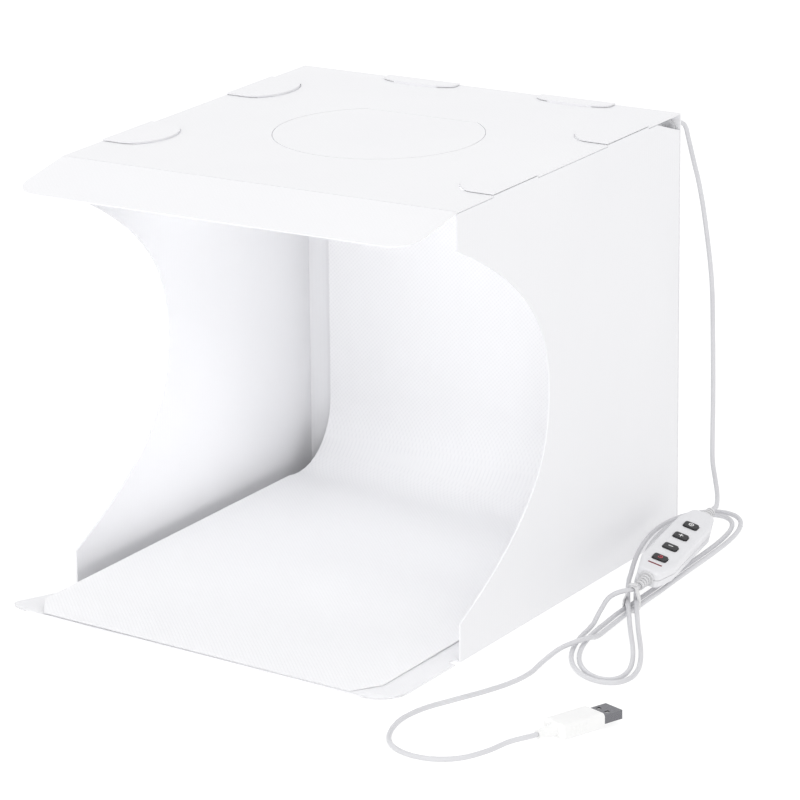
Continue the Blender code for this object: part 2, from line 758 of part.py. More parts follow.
def eight(turns):
    """A point of the figure eight, by turns since the first pass through the waist."""
    phase = 2 * math.pi * turns
    in_front = math.sin(phase) >= 0
    lobe = FRONT_LOBE if in_front else REAR_LOBE
    fullness = FRONT_FULLNESS_SHARE if in_front else REAR_FULLNESS_SHARE

    def base(angle):
        sine, cosine = math.sin(angle), math.cos(angle)
        return Vector((-lobe * OPENING_SHARE * sine * cosine * (1 + fullness * sine**2), -lobe * sine))

    step = math.pi / POINTS_PER_TURN / 10
    travel = (base(phase + step) - base(phase - step)).normalized()
    aside = Vector((-travel.y, travel.x))
    spot = base(phase) + aside * (STRAND_PITCH * (turns - HANK_TURNS / 2))
    layer = 1 if math.cos(phase) < 0 else 0
    if turns < 0.25:
        layer = 2
    return on_hank(spot.x, spot.y, table_level(spot.y) + layer * crossing_level(spot.y))


def case_frame():
    """Place of the controller over the rear lobe, its own X axis pointing away from the waist."""
    ahead, aside = hank_axes()
    spot = Vector((*HANK_PLACE, CASE_LIFT)) + ahead * CASE_AHEAD + aside * CASE_ASIDE
    turn = Matrix.Rotation(HANK_HEADING - CASE_TURN, 4, "Z") @ Matrix.Rotation(-CASE_PITCH, 4, "Y")
    return Matrix.Translation(spot) @ turn @ Matrix.Rotation(CASE_ROLL, 4, "X")


def relief_end(direction):
    """Where the cord meets the strain relief at one end of the controller."""
    reach = CASE_LENGTH / 2 + RELIEF_OUT + CLEAR
    return case_frame() @ Vector((direction * reach, 0, CASE_AXIS))


def hank_points():
    """Controller to waist, the turns, and a little of the way down the front lobe."""
    start = relief_end(-1)
    goal = eight(LEAD_IN_TURNS)
    out = -(case_frame().to_3x3() @ Vector((1, 0, 0)))
    into = (eight(LEAD_IN_TURNS + 1 / POINTS_PER_TURN) - goal).normalized()
    reach = (goal - start).length
    points = [start]
    for step in range(LEAD_IN_POINTS):
        share = (step + 1) / (LEAD_IN_POINTS + 1)
        blend = share * share * (3 - 2 * share)
        leaving = start + out * (reach * share)
        arriving = goal - into * (reach * (1 - share))
        points.append(leaving.lerp(arriving, blend))
    final = HANK_TURNS + math.asin(LEAVE_AT / FRONT_LOBE) / (2 * math.pi)
    wound = final - LEAD_IN_TURNS
    count = round(wound * POINTS_PER_TURN)
    points += [eight(LEAD_IN_TURNS + wound * index / count) for index in range(count + 1)]
    last = (points[-1] - points[-2]).normalized()
    points.append(points[-1] + last * END_RUN)
    return points


def least_gap(points, radius, skip):
    """Least space between stretches of the tube that aren't neighbours along it."""
    fine = []
    for first, second in zip(points, points[1:]):
        fine += [first.lerp(second, share / 3) for share in range(3)]
    least = math.inf
    for index, here in enumerate(fine):
        for other in fine[index + 3 * skip:]:
            least = min(least, (here - other).length)
    return least - 2 * radius


def cord_hank():
    points = hank_points()
    gap = least_gap(points, CORD_RADIUS, 5)
    print("hank length %.3f m, least gap to itself %.2f mm" % (length_of(points), gap * 1000))
    return cord("cord_hank", points, CORD_RADIUS, 1, cord_rubber())


def cord_drop():
    """From the outlet behind the box, hanging to the table and round to the controller."""
    start = Vector((GROMMET_X, BACK + CLEAR + GROMMET_BOOT + CLEAR, GROMMET_Z))
    end = relief_end(1)
    back = case_frame().to_3x3() @ Vector((1, 0, 0))
    corner = Vector((SIDE, BACK, 0))
    route = [start, start + Vector((0, END_RUN, 0))] + [corner + Vector(point) for point in DROP_ROUTE]
    route += [end + back * away for away in DROP_ARRIVES] + [end]
    points = smooth_route(route, CORD_SPACING)
    print("drop length %.3f m" % length_of(points))
    return cord("cord_drop", points, CORD_RADIUS, 2, cord_rubber())


def cord_tail():
    """From the hank over its two outer strands, along the table and round to the plug."""
    last, before = hank_points()[-1], hank_points()[-2]
    heading = (last - before).normalized()
    start = last + heading * CLEAR
    end = plug_frame() @ Vector((-CLEAR, 0, PLUG_HEIGHT / 2))
    into = plug_frame().to_3x3() @ Vector((1, 0, 0))
    waist = Vector((*HANK_PLACE, 0))
    route = [start, start + heading * END_RUN] + [waist + Vector(point) for point in TAIL_ROUTE]
    route += [end - into * END_RUN, end]
    points = smooth_route(route, CORD_SPACING)
    print("tail length %.3f m" % length_of(points))
    return cord("cord_tail", points, CORD_RADIUS, 2, cord_rubber())


def hank_tie():
    """A flat strap round the waist of the hank."""
    strands = HANK_TURNS + 1
    half = (strands - 1) / 2 * STRAND_PITCH + CORD_RADIUS + TIE_SLACK
    low = TIE_THICKNESS + CLEAR / 3
    place = Matrix.Translation(on_hank(0, TIE_AHEAD, 0)) @ Matrix.Rotation(HANK_HEADING - math.pi / 2, 4, "Z")
    held = [point.z for point in hank_points() if abs((place.inverted() @ point).y) < TIE_LENGTH]
    high = max(held) + CORD_RADIUS + TIE_HEADROOM
    inner = rounded([(-half, low), (half, low), (half, high), (-half, high)], TIE_CORNER, 4)
    wide = half + TIE_THICKNESS
    outer = rounded([(-wide, CLEAR / 3), (wide, CLEAR / 3), (wide, high + TIE_THICKNESS),
                     (-wide, high + TIE_THICKNESS)], TIE_CORNER + TIE_THICKNESS, 4)
    tie = add_piece("hank_tie", prism(outer, -TIE_LENGTH / 2, TIE_LENGTH / 2, "XZ"), loop_tape(), place=place)
    hole = prism(inner, -TIE_LENGTH, TIE_LENGTH, "XZ")
    combine(tie, add_cutter("cut_hank_tie", hole, place))
    return tie


def case_outline(inset=0.0):
    half, end = CASE_WIDTH / 2 - inset, CASE_END_WIDTH / 2 - inset
    far, near_end = CASE_LENGTH / 2 - inset, CASE_LENGTH / 2 - CASE_TAPER
    corners = [
        (-far, -end), (-near_end, -half), (near_end, -half), (far, -end),
        (far, end), (near_end, half), (-near_end, half), (-far, end),
    ]
    return rounded(corners, max(CASE_CORNER - inset, CASE_CORNER / 4), 3)


def button_spots():
    first = BUTTON_SHIFT - BUTTON_PITCH * 1.5
    return [first + BUTTON_PITCH * index for index in range(4)]


def button_outline(centre, margin=0.0, length=BUTTON_LENGTH, width=BUTTON_WIDTH):
    """A rounded oblong across the case, this much larger all round than a button."""
    low, high = centre - length / 2 - margin, centre + length / 2 + margin
    half = width / 2 + margin
    return rounded([(low, -half), (high, -half), (high, half), (low, half)], BUTTON_CORNER, 3)


def relief_sockets():
    """The two round openings that the strain reliefs' plugs seat in."""
    bm = bmesh.new()
    for direction in (-1, 1):
        inner = direction * (CASE_LENGTH / 2 - CASE_WALL - OVERRUN)
        outer = direction * (CASE_LENGTH / 2 + OVERRUN)
        radius = RELIEF_TIP + CLEAR
        turned([(0, inner), (radius, inner), (radius, outer), (0, outer)], ROUND_STEPS, "X",
               (0, 0, CASE_AXIS), into=bm)
    return bm


def controller_shell(name, low, high, edge_level, openings):
    bm = prism(case_outline(), low, high)

    def outer_edge(edge):
        return all(near(vert.co.z, edge_level) for vert in edge.verts)

    soften(bm, outer_edge, CASE_EDGE, 2)
    place = case_frame()
    shell = add_piece(name, bm, case_plastic(), place=place, smooth=math.radians(35))
    is_top = edge_level == high
    hollow_low = low - OVERRUN if is_top else low + CASE_WALL
    hollow_high = high - CASE_WALL if is_top else high + OVERRUN
    combine(shell, add_cutter(name + "_hollow", prism(case_outline(CASE_WALL), hollow_low, hollow_high), place))
    for label, cutter in openings.items():
        combine(shell, add_cutter(name + label, cutter, place))
    return shell


def controller_top():
    windows = bmesh.new()
    for spot in button_spots():
        outline = button_outline(spot, CLEAR)
        prism(outline, CASE_SPLIT, CASE_HEIGHT + OVERRUN, into=windows)
    return controller_shell("controller_top", CASE_SPLIT + CLEAR / 2, CASE_HEIGHT, CASE_HEIGHT,
                            {"_windows": windows, "_sockets": relief_sockets()})


def controller_bottom():
    shell = controller_shell("controller_bottom", CLEAR / 3, CASE_SPLIT - CLEAR / 2, CLEAR / 3,
                             {"_sockets": relief_sockets()})
    posts = bmesh.new()
    for end in (-1, 1):
        spot = end * (CASE_LENGTH / 2 - CASE_TAPER)
        high = CIRCUIT_HEIGHT - CLEAR
        turned([(0, CASE_WALL / 2), (BOSS_RADIUS, CASE_WALL / 2), (BOSS_RADIUS, high), (0, high)],
               10, "Z", (spot, 0, 0), into=posts)
    combine(shell, add_cutter("controller_posts", posts, case_frame()), "UNION")
    return shell


def controller_circuit():
    """The board on the lower shell's posts, with one switch under each button."""
    inset = CASE_WALL + 2 * CLEAR
    reach = CASE_LENGTH / 2 - CASE_TAPER + BOSS_RADIUS
    half = CASE_WIDTH / 2 - inset
    outline = rounded([(-reach, -half), (reach, -half), (reach, half), (-reach, half)], CASE_CORNER / 2, 2)
    top = CIRCUIT_HEIGHT + CIRCUIT_THICKNESS
    place = case_frame()
    board = add_piece("controller_circuit", prism(outline, CIRCUIT_HEIGHT, top), circuit_board(), place=place)
    switches = bmesh.new()
    for spot in button_spots():
        outline = button_outline(spot, 0.0, SWITCH_SIZE, SWITCH_SIZE)
        prism(outline, top - CIRCUIT_THICKNESS / 2, top + SWITCH_HEIGHT, into=switches)
    combine(board, add_cutter("circuit_switches", switches, place), "UNION")
    return board


def controller_button(index, spot):
    """A cap that stands in its window, with a flange that keeps it in under the shell."""
    under = CASE_HEIGHT - CASE_WALL - CLEAR
    base = under - BUTTON_FLANGE
    top = CASE_HEIGHT + BUTTON_PROUD
    outline = button_outline(0)
    bm = prism(outline, base + BUTTON_FLANGE / 2, top)
    soften(bm, lambda edge: all(near(vert.co.z, top) for vert in edge.verts), BUTTON_CORNER / 4, 2)
    name = "button_%d" % (index + 1)
    place = case_frame() @ Matrix.Translation((spot, 0, 0))
    cap = add_piece(name, bm, button_rubber(), (0, 0, base), place, math.radians(35))
    flange = button_outline(0, BUTTON_FLANGE_REACH)
    combine(cap, add_cutter(name + "_flange", prism(flange, base, under), place), "UNION")
    return cap


def strain_relief(name, direction):
    """A ribbed rubber boot, seated in the end of the case."""
    face = CASE_LENGTH / 2
    start = face - RELIEF_IN
    collar = face + CLEAR
    tip = face + RELIEF_OUT
    profile = [(0, start), (RELIEF_TIP, start), (RELIEF_TIP, collar), (RELIEF_COLLAR, collar)]
    step = (tip - collar) / (RIB_COUNT + 1)
    profile.append((RELIEF_COLLAR, collar + step / 2))
    for rib in range(RIB_COUNT):
        share = (rib + 1) / (RIB_COUNT + 1)
        radius = RELIEF_BASE + (RELIEF_TIP - RELIEF_BASE) * share
        low = collar + step * (rib + 0.5)
        profile += [(radius - RIB_GROOVE, low), (radius - RIB_GROOVE, low + step / 2),
                    (radius, low + step / 2), (radius, low + step)]
    profile += [(RELIEF_TIP - RIB_GROOVE, tip - step / 2), (RELIEF_TIP - RIB_GROOVE, tip), (0, tip)]
    place = case_frame()
    if direction < 0:
        place = place @ Matrix.Rotation(math.pi, 4, "Z")
    bm = turned(profile, ROUND_STEPS, "X", (0, 0, CASE_AXIS))
    return add_piece(name, bm, cord_rubber(), place=place, smooth=math.radians(30))


def plug_frame():
    """Place of the plug on the table: its own X axis runs from the cord to the metal shell."""
    spot = Vector((SIDE + PLUG_BESIDE, BACK - PLUG_FROM_BACK, CLEAR / 3))
    return Matrix.Translation(spot) @ Matrix.Rotation(PLUG_HEADING, 4, "Z")


def plug_body():
    """The moulded grip with its neck for the cord and its socket for the metal shell."""
    half = PLUG_WIDTH / 2
    outline = rounded([(-half, 0), (half, 0), (half, PLUG_HEIGHT), (-half, PLUG_HEIGHT)], PLUG_CORNER, 4)
    bm = bmesh.new()
    verts = [bm.verts.new((PLUG_NECK, y, z)) for y, z in outline]
    face = bm.faces.new(verts)
    grown = bmesh.ops.extrude_face_region(bm, geom=[face])["geom"]
    moved = [item for item in grown if isinstance(item, bmesh.types.BMVert)]
    bmesh.ops.translate(bm, verts=moved, vec=(PLUG_LENGTH, 0, 0))
    soften(bm, lambda edge: near(*(vert.co.x for vert in edge.verts)), PLUG_CORNER / 2, 2)
    place = plug_frame()
    body = add_piece("usb_grip", bm, case_plastic(), place=place, smooth=math.radians(40))
    tip = PLUG_NECK_TIP
    neck = turned([(0, 0), (tip, 0), (tip, PLUG_NECK / 4), (PLUG_NECK_BASE, PLUG_NECK),
                   (PLUG_NECK_BASE, PLUG_NECK + PLUG_CORNER), (0, PLUG_NECK + PLUG_CORNER)],
                  ROUND_STEPS, "X", (0, 0, PLUG_HEIGHT / 2))
    combine(body, add_cutter("usb_neck", neck, place), "UNION")
    wide, tall = SHELL_WIDTH / 2 + CLEAR, SHELL_HEIGHT / 2 + CLEAR
    face_at = PLUG_NECK + PLUG_LENGTH
    pocket = prism([(face_at - PLUG_SOCKET, -wide), (face_at + OVERRUN, -wide), (face_at + OVERRUN, wide),
                    (face_at - PLUG_SOCKET, wide)], PLUG_HEIGHT / 2 - tall, PLUG_HEIGHT / 2 + tall)
    combine(body, add_cutter("cut_usb_grip", pocket, place))
    return body


def plug_box(low_x, high_x, width, low_z, high_z, into=None):
    half = width / 2
    outline = [(low_x, -half), (high_x, -half), (high_x, half), (low_x, half)]
    return prism(outline, low_z, high_z, into=into)


def plug_shell():
    """The metal sleeve with its two latch windows above and below."""
    middle = PLUG_HEIGHT / 2
    start = PLUG_NECK + PLUG_LENGTH - PLUG_SOCKET + CLEAR
    end = PLUG_NECK + PLUG_LENGTH + SHELL_LENGTH
    half_height = SHELL_HEIGHT / 2
    place = plug_frame()
    shell = add_piece("usb_shell", plug_box(start, end, SHELL_WIDTH, middle - half_height, middle + half_height),
                      plug_metal(), place=place)
    cuts = plug_box(start - OVERRUN, end + OVERRUN, SHELL_WIDTH - 2 * SHELL_WALL,
                    middle - half_height + SHELL_WALL, middle + half_height - SHELL_WALL)
    combine(shell, add_cutter("cut_usb_bore", cuts, place))
    windows = bmesh.new()
    centre = PLUG_NECK + PLUG_LENGTH + SHELL_LENGTH * WINDOW_PLACE_SHARE
    for side in (-1, 1):
        aside = side * SHELL_WIDTH / 4
        half = SHELL_WINDOW / 2
        outline = [(centre - half, aside - half), (centre + half, aside - half), (centre + half, aside + half),
                   (centre - half, aside + half)]
        prism(outline, middle - half_height - OVERRUN, middle + half_height + OVERRUN, into=windows)
    combine(shell, add_cutter("cut_usb_windows", windows, place))
    return shell


def plug_tongue():
    """The plastic tongue inside the sleeve, on its foot in the grip."""
    middle = PLUG_HEIGHT / 2
    ceiling = middle + SHELL_HEIGHT / 2 - SHELL_WALL - CLEAR
    start = PLUG_NECK + PLUG_LENGTH - PLUG_SOCKET + CLEAR
    end = PLUG_NECK + PLUG_LENGTH + SHELL_LENGTH - TONGUE_SHORTFALL
    width = SHELL_WIDTH - 2 * SHELL_WALL - 2 * CLEAR
    place = plug_frame()
    tongue = add_piece("usb_tongue", plug_box(start, end, width, ceiling - TONGUE_HEIGHT, ceiling),
                       case_plastic(), place=place)
    foot = plug_box(start, start + PLUG_SOCKET / 2, width, middle - SHELL_HEIGHT / 2 + SHELL_WALL + CLEAR,
                    ceiling - TONGUE_HEIGHT / 2)
    combine(tongue, add_cutter("usb_tongue_foot", foot, place), "UNION")
    return tongue


def build():
    for thing in list(bpy.data.objects):
        bpy.data.objects.remove(thing, do_unlink=True)
    floor_panel()
    back_panel()
    roof_panel()
    visor_panel()
    hatch_flap()
    for side, word in ((-1, "left"), (1, "right")):
        side_wall(word + "_wall", side, side > 0)
        for place, middle in TAB_MIDDLES.items():
            lock_tab("tab_%s_%s" % (word, place), side, middle)
        backdrop_pad("backdrop_pad_" + word, side)
    backdrop()
    led_tray()
    led_board()
    led_diffuser()
    cord_inner()
    cable_grommet()
    cord_drop()
    cord_hank()
    cord_tail()
    hank_tie()
    controller_top()
    controller_bottom()
    controller_circuit()
    for index, spot in enumerate(button_spots()):
        controller_button(index, spot)
    strain_relief("strain_relief_hank", -1)
    strain_relief("strain_relief_drop", 1)
    plug_body()
    plug_shell()
    plug_tongue()


build()
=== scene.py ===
import math

import bpy
from mathutils import Matrix, Vector


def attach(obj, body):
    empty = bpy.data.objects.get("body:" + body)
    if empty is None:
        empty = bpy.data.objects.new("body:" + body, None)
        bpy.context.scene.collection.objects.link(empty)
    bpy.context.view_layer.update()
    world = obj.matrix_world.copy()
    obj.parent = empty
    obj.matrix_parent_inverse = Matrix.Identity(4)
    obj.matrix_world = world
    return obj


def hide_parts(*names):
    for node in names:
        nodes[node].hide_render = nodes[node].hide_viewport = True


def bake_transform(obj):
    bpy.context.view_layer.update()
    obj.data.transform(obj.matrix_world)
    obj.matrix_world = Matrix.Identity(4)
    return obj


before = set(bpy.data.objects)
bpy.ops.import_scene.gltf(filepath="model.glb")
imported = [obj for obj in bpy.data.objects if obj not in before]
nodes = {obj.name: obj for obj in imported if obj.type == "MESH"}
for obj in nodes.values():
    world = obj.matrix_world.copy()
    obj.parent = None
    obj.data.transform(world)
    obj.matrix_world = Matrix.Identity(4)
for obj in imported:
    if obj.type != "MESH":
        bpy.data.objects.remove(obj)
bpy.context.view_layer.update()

# The box, in metres
WIDTH, DEPTH, HEIGHT = 0.230, 0.230, 0.230
LIP = 0.066
SHEET = 0.0008
CLEAR = 0.0003
FRONT = LIP - (DEPTH + LIP) / 2
BACK = FRONT + DEPTH
SIDE = WIDTH / 2
FOLD = SHEET / 2
HATCH_RADIUS = 0.0545
HATCH_MIDDLE = FRONT + 0.117
HATCH_HALF_CHORD = 0.033
HATCH_HINGE = HATCH_MIDDLE + math.sqrt(HATCH_RADIUS**2 - HATCH_HALF_CHORD**2)
HATCH_GAP = 0.0004
TAB_MIDDLE = BACK - 0.057
TONGUES = (("rear_tongue_left", -0.039), ("rear_tongue_right", 0.055))
TONGUE_INSET = 0.0012
TONGUE_REACH_SHARE = 0.42

# The backdrop, and the sheets that settle and spring
BACKDROP_WIDTH = 0.200
BACKDROP_SWEEP = 0.045
PAD_THICKNESS = 0.0012
BACKDROP_REAR = BACK - SHEET - 2 * CLEAR - PAD_THICKNESS
BACKDROP_LIFT = 0.0135
BACKDROP_FRONT_GAP = 0.0015
BACKDROP_ROWS = (0.068, 0.089, 0.110, 0.151, 0.172, 0.193)
FRONT_ROW_DROP = 0.8 * CLEAR
FRONT_ROW_SHARE = 0.3
SETTLED_SHARE = 0.28
SPRING_POWER = 1.3
FLOOR_STEPS = 10

# The creases between the panels
WEB_WIDTH = CLEAR * 1.6
WEB_THICKNESS = SHEET * 0.55
CREASE_INSET = 0.001
HATCH_CREASE_LEVEL = HEIGHT - SHEET * 0.3

# The ring light and the grommet
RING_INNER = HATCH_RADIUS + 0.0045
RING_OUTER = RING_INNER + 0.027
TRAY_TOP = HEIGHT - SHEET - CLEAR
TRAY_HEIGHT = 0.0065
TRAY_WALL = 0.0012
BOARD_THICKNESS = 0.0010
BOARD_LEVEL = TRAY_TOP - TRAY_WALL - CLEAR - BOARD_THICKNESS
CHIP_MARGIN = 0.0001
LED_COUNT = 36
GROMMET = Vector((SIDE - 0.0075, BACK, HEIGHT - 0.0085))
GROMMET_BOOT = 0.0085
GROMMET_FLANGE = 0.0010

# The photo's view, fitted to the box's corners; the focal length is in the photo's pixels
VIEW_YAW = math.radians(31.102)
VIEW_PITCH = math.radians(17.039)
VIEW_ROLL = math.radians(-0.579)
VIEW_TARGET = (0, 0.115 + FRONT, 0.12)
VIEW_DISTANCE = 2.4412
VIEW_LEFT = -0.01081
VIEW_UP = 0.03094
FOCAL_PIXELS = 4710.8
PHOTO_PIXELS = 800
SENSOR_WIDTH = 36

# The studio's light; each lamp has its place, target, size, beam in degrees, and power
SURROUND = 1.0
FLOOR_SIZE = 12
FLOOR_LEVEL = -0.0005
FLOOR_TONE = (0.15, 0.15, 0.15, 1)
FLOOR_GLOW = 0.88
COVER_GLOW = 5.2
GLOW_FALL = 110
WHITE = (1, 1, 1, 1)
CUBE_MIDDLE = (0, 0, 0.1)
LAMPS = (
    ("key_lamp", (-0.7, -1.5, 2.3), CUBE_MIDDLE, 1.6, 180, 3.5),
    ("top_lamp", (0.0, 0.0, 2.2), CUBE_MIDDLE, 1.5, 180, 3.3),
    ("left_lamp", (-1.0, -1.6, 0.6), CUBE_MIDDLE, 0.8, 180, 4.2),
    ("right_lamp", (1.2, -2.2, 0.25), CUBE_MIDDLE, 0.6, 180, 9.6),
    ("front_fill", (0.104, -0.03, 0.04), (-0.115, -0.045, 0.08), 0.06, 70, 0.014),
    ("rear_fill", (0.104, 0.04, 0.04), (-0.115, 0.05, 0.05), 0.06, 60, 0.010),
)

# The cords; the hanging cord's route is given from the box's right rear corner at the table,
# the free end's from the hank's waist
CORD_RADIUS = 0.00125
CORD_REST = 0.0016
CORD_STEP = 0.0030
CURVE_STEPS = 24
INNER_EASE = 0.010
INNER_LEAVES_AT = math.radians(38)
END_RUN = 0.0033
DROP_ROUTE = (
    (-0.0068, 0.0180, 0.2185), (-0.0055, 0.0195, 0.2110), (-0.0022, 0.0190, 0.2000),
    (0.0020, 0.0175, 0.1880), (0.0065, 0.0160, 0.1690), (0.0112, 0.0150, 0.1375),
    (0.0131, 0.0135, 0.1050), (0.0148, 0.0110, 0.0740), (0.0160, 0.0085, 0.0550),
    (0.0182, 0.0045, 0.0420), (0.0222, 0.0000, 0.0335), (0.0268, -0.0065, 0.0278),
)
DROP_ARRIVES = (0.0070, 0.0033)
TAIL_ROUTE = (
    (0.0067, -0.0500, 0.0022), (0.0074, -0.0572, 0.0043), (0.0065, -0.0640, 0.0052),
    (0.0034, -0.0800, 0.0053), (0.0023, -0.0960, 0.0033), (0.0027, -0.1100, 0.0017),
    (0.0012, -0.1260, CORD_REST), (-0.0040, -0.1430, CORD_REST),
    (-0.0115, -0.1610, CORD_REST), (-0.0180, -0.1780, CORD_REST),
    (-0.0197, -0.1960, CORD_REST), (-0.0150, -0.2140, CORD_REST),
    (-0.0065, -0.2265, CORD_REST), (0.0060, -0.2330, CORD_REST), (0.0195, -0.2325, CORD_REST),
    (0.0305, -0.2255, 0.0018), (0.0380, -0.2130, 0.0026), (0.0422, -0.2000, 0.0036),
)

# The hank, wound as a figure eight and bowed, its rear lobe rising under the controller
HANK_PLACE = (SIDE + 0.0366, BACK - 0.1197)
HANK_HEADING = math.radians(102.9)
HANK_BOW = 0.0275
HANK_BOW_AT = 0.140
REAR_LOBE = 0.1085
FRONT_LOBE = 0.1070
REAR_SLOPE = 0.15
OPENING_SHARE = 0.272
REAR_FULLNESS_SHARE = 0.38
FRONT_FULLNESS_SHARE = 0.01
STRAND_PITCH = 0.0041
CROSSING_RISE = 0.0038
CROSSING_FLAT = 0.017
CROSSING_RAMP = 0.020
HANK_TURNS = 2
POINTS_PER_TURN = 96
LEAVE_AT = 0.036
LEAD_IN_POINTS = 8
LEAD_IN_TURNS = 0.03
LEAD_IN_LOOK = 1 / 48
TRAVEL_STEP = math.pi / 480
FIRST_STRAND_TURNS = 0.25
WAIST_REACH = 0.03
TIE_THICKNESS = 0.0007
TIE_LENGTH = 0.004
TIE_AHEAD = -0.0045
TIE_LIFT_RAMP = 0.022
TIE_HALF_WIDTH = TIE_LENGTH * 0.45
LAP_LENGTH = 0.0042

# The hand controller and the plug
CASE_LENGTH, CASE_HEIGHT = 0.074, 0.0095
CASE_AXIS = CASE_HEIGHT / 2
CASE_AHEAD, CASE_ASIDE, CASE_LIFT = 0.0475, 0.0092, 0.0140
CASE_TURN = math.radians(8.4)
CASE_PITCH = math.radians(7)
CASE_ROLL = math.radians(15)
RELIEF_OUT = 0.011
RIB_PITCH = (RELIEF_OUT - CLEAR) / 5
RIBS_START = CASE_LENGTH / 2 + CLEAR + RIB_PITCH * 0.75
BUTTON_PITCH = 0.0135
BUTTON_SHIFT = -0.002
BUTTON_TOP = CASE_HEIGHT + 0.0010
FIRST_BUTTON = BUTTON_SHIFT - BUTTON_PITCH * 1.5
MARK_THICKNESS, MARK_LINE, MARK_LENGTH = 0.00012, 0.00045, 0.0026
HOOP_STEPS = 28
INDICATOR_AWAY = 0.0066
INDICATOR_SIZE = (0.0011, 0.0078, 0.00024)
PLUG_PLACE = (SIDE + 0.0862, BACK - 0.306)
PLUG_HEADING = math.radians(69.7)
PLUG_HEIGHT = 0.0080
PLUG_NECK, PLUG_LENGTH, PLUG_WIDTH = 0.010, 0.026, 0.0155
RIDGE_COUNT, RIDGE_PITCH = 5, 0.0022
RIDGES_FROM = PLUG_NECK + 0.005
RIDGE_SIZE = (0.0009, 0.0006, PLUG_HEIGHT * 0.55)
RIDGE_ASIDE = PLUG_WIDTH / 2 - 0.0001
SLEEVE_HEIGHT, SLEEVE_WALL = 0.0045, 0.0004
CONTACT_COUNT, CONTACT_PITCH, CONTACT_DROP = 4, 0.0023, 0.0020
CONTACT_MIDDLE = PLUG_NECK + PLUG_LENGTH + 0.0068
CONTACT_SIZE = (0.0062, 0.0011, 0.00016)
CONTACT_LEVEL = PLUG_HEIGHT / 2 + SLEEVE_HEIGHT / 2 - SLEEVE_WALL - CLEAR - CONTACT_DROP

# Points nearer than these are one, in a ring's mesh and in a copied solid
HOOP_MERGE = 0.000001
SOLID_MERGE = 0.000002

# How sharp an edge stays when a mesh is shaded smooth
TRIM_SMOOTH = math.radians(35)
FLOOR_SMOOTH = math.radians(30)
BACKDROP_SMOOTH = math.radians(40)

# The sheets' surface
DOT_PITCH = 0.0017
DOT_EDGE = 0.62
DOT_TURN = math.radians(45)


def camera():
    """The photo's view: 31 degrees to the right of the front, 17 degrees above."""
    level = math.cos(VIEW_PITCH)
    back = Vector((math.sin(VIEW_YAW) * level, -math.cos(VIEW_YAW) * level, math.sin(VIEW_PITCH)))
    right = Vector((math.cos(VIEW_YAW), math.sin(VIEW_YAW), 0))
    up = back.cross(right)
    across = math.cos(VIEW_ROLL) * right + math.sin(VIEW_ROLL) * up
    upward = -math.sin(VIEW_ROLL) * right + math.cos(VIEW_ROLL) * up
    shifted = Vector(VIEW_TARGET) - VIEW_LEFT * across - VIEW_UP * upward
    data = bpy.data.cameras.new("camera")
    eye = bpy.data.objects.new("camera", data)
    bpy.context.scene.collection.objects.link(eye)
    turn = Matrix((across, upward, back)).transposed().to_4x4()
    turn.translation = shifted + VIEW_DISTANCE * back
    eye.matrix_world = turn
    data.sensor_width = SENSOR_WIDTH
    data.lens = FOCAL_PIXELS / PHOTO_PIXELS * SENSOR_WIDTH
    data.clip_end = 20
    bpy.context.scene.camera = eye


def length_of(points):
    """Length of a line through points."""
    return sum((second - first).length for first, second in zip(points, points[1:]))


def evenly(points, spacing):
    """Points at equal steps along a fine line, ends kept."""
    total = length_of(points)
    count = max(2, round(total / spacing))
    chosen = [points[0]]
    travelled = 0.0
    wanted = total / count
    for first, second in zip(points, points[1:]):
        stretch = (second - first).length
        while travelled + stretch >= wanted and len(chosen) < count:
            chosen.append(first.lerp(second, (wanted - travelled) / stretch))
            wanted = total * len(chosen) / count
        travelled += stretch
    chosen.append(points[-1])
    return chosen


def smooth_route(points, spacing=CORD_STEP):
    """Points a set distance apart on a smooth curve through the route's points."""
    knots = [Vector(point) for point in points]
    knots = [2 * knots[0] - knots[1]] + knots + [2 * knots[-1] - knots[-2]]
    fine = []
    for before, start, end, after in zip(knots, knots[1:], knots[2:], knots[3:]):
        for step in range(CURVE_STEPS):
            t = step / CURVE_STEPS
            fine.append(0.5 * (2 * start + (end - before) * t
                               + (2 * before - 5 * start + 4 * end - after) * t**2
                               + (3 * start - before - 3 * end + after) * t**3))
    fine.append(knots[-2])
    return evenly(fine, spacing)


def hank_axes():
    """The hank's own directions: along it to the rear, and across it to the right."""
    ahead = Vector((math.cos(HANK_HEADING), math.sin(HANK_HEADING), 0))
    return ahead, Vector((ahead.y, -ahead.x, 0))


def on_hank(aside_by, ahead_by, height):
    """A place from the hank's own coordinates, bowed towards both ends and rising rearwards."""
    ahead, aside = hank_axes()
    bow = HANK_BOW * (ahead_by / HANK_BOW_AT) ** 2
    rise = REAR_SLOPE * max(0.0, ahead_by)
    return Vector((*HANK_PLACE, height + rise)) + ahead * ahead_by + aside * (aside_by + bow)


def table_level(ahead_by):
    """Height of a strand on the table, lifted where the tie passes under it."""
    share = min(1.0, max(0.0, (abs(ahead_by - TIE_AHEAD) - TIE_LENGTH) / TIE_LIFT_RAMP))
    return CORD_REST + (TIE_THICKNESS + CLEAR) * (1 + math.cos(math.pi * share)) / 2


def crossing_level(ahead_by):
    """Extra height of the strands that pass over the others at the waist."""
    share = min(1.0, max(0.0, (abs(ahead_by) - CROSSING_FLAT) / CROSSING_RAMP))
    return CROSSING_RISE * (1 + math.cos(math.pi * share)) / 2


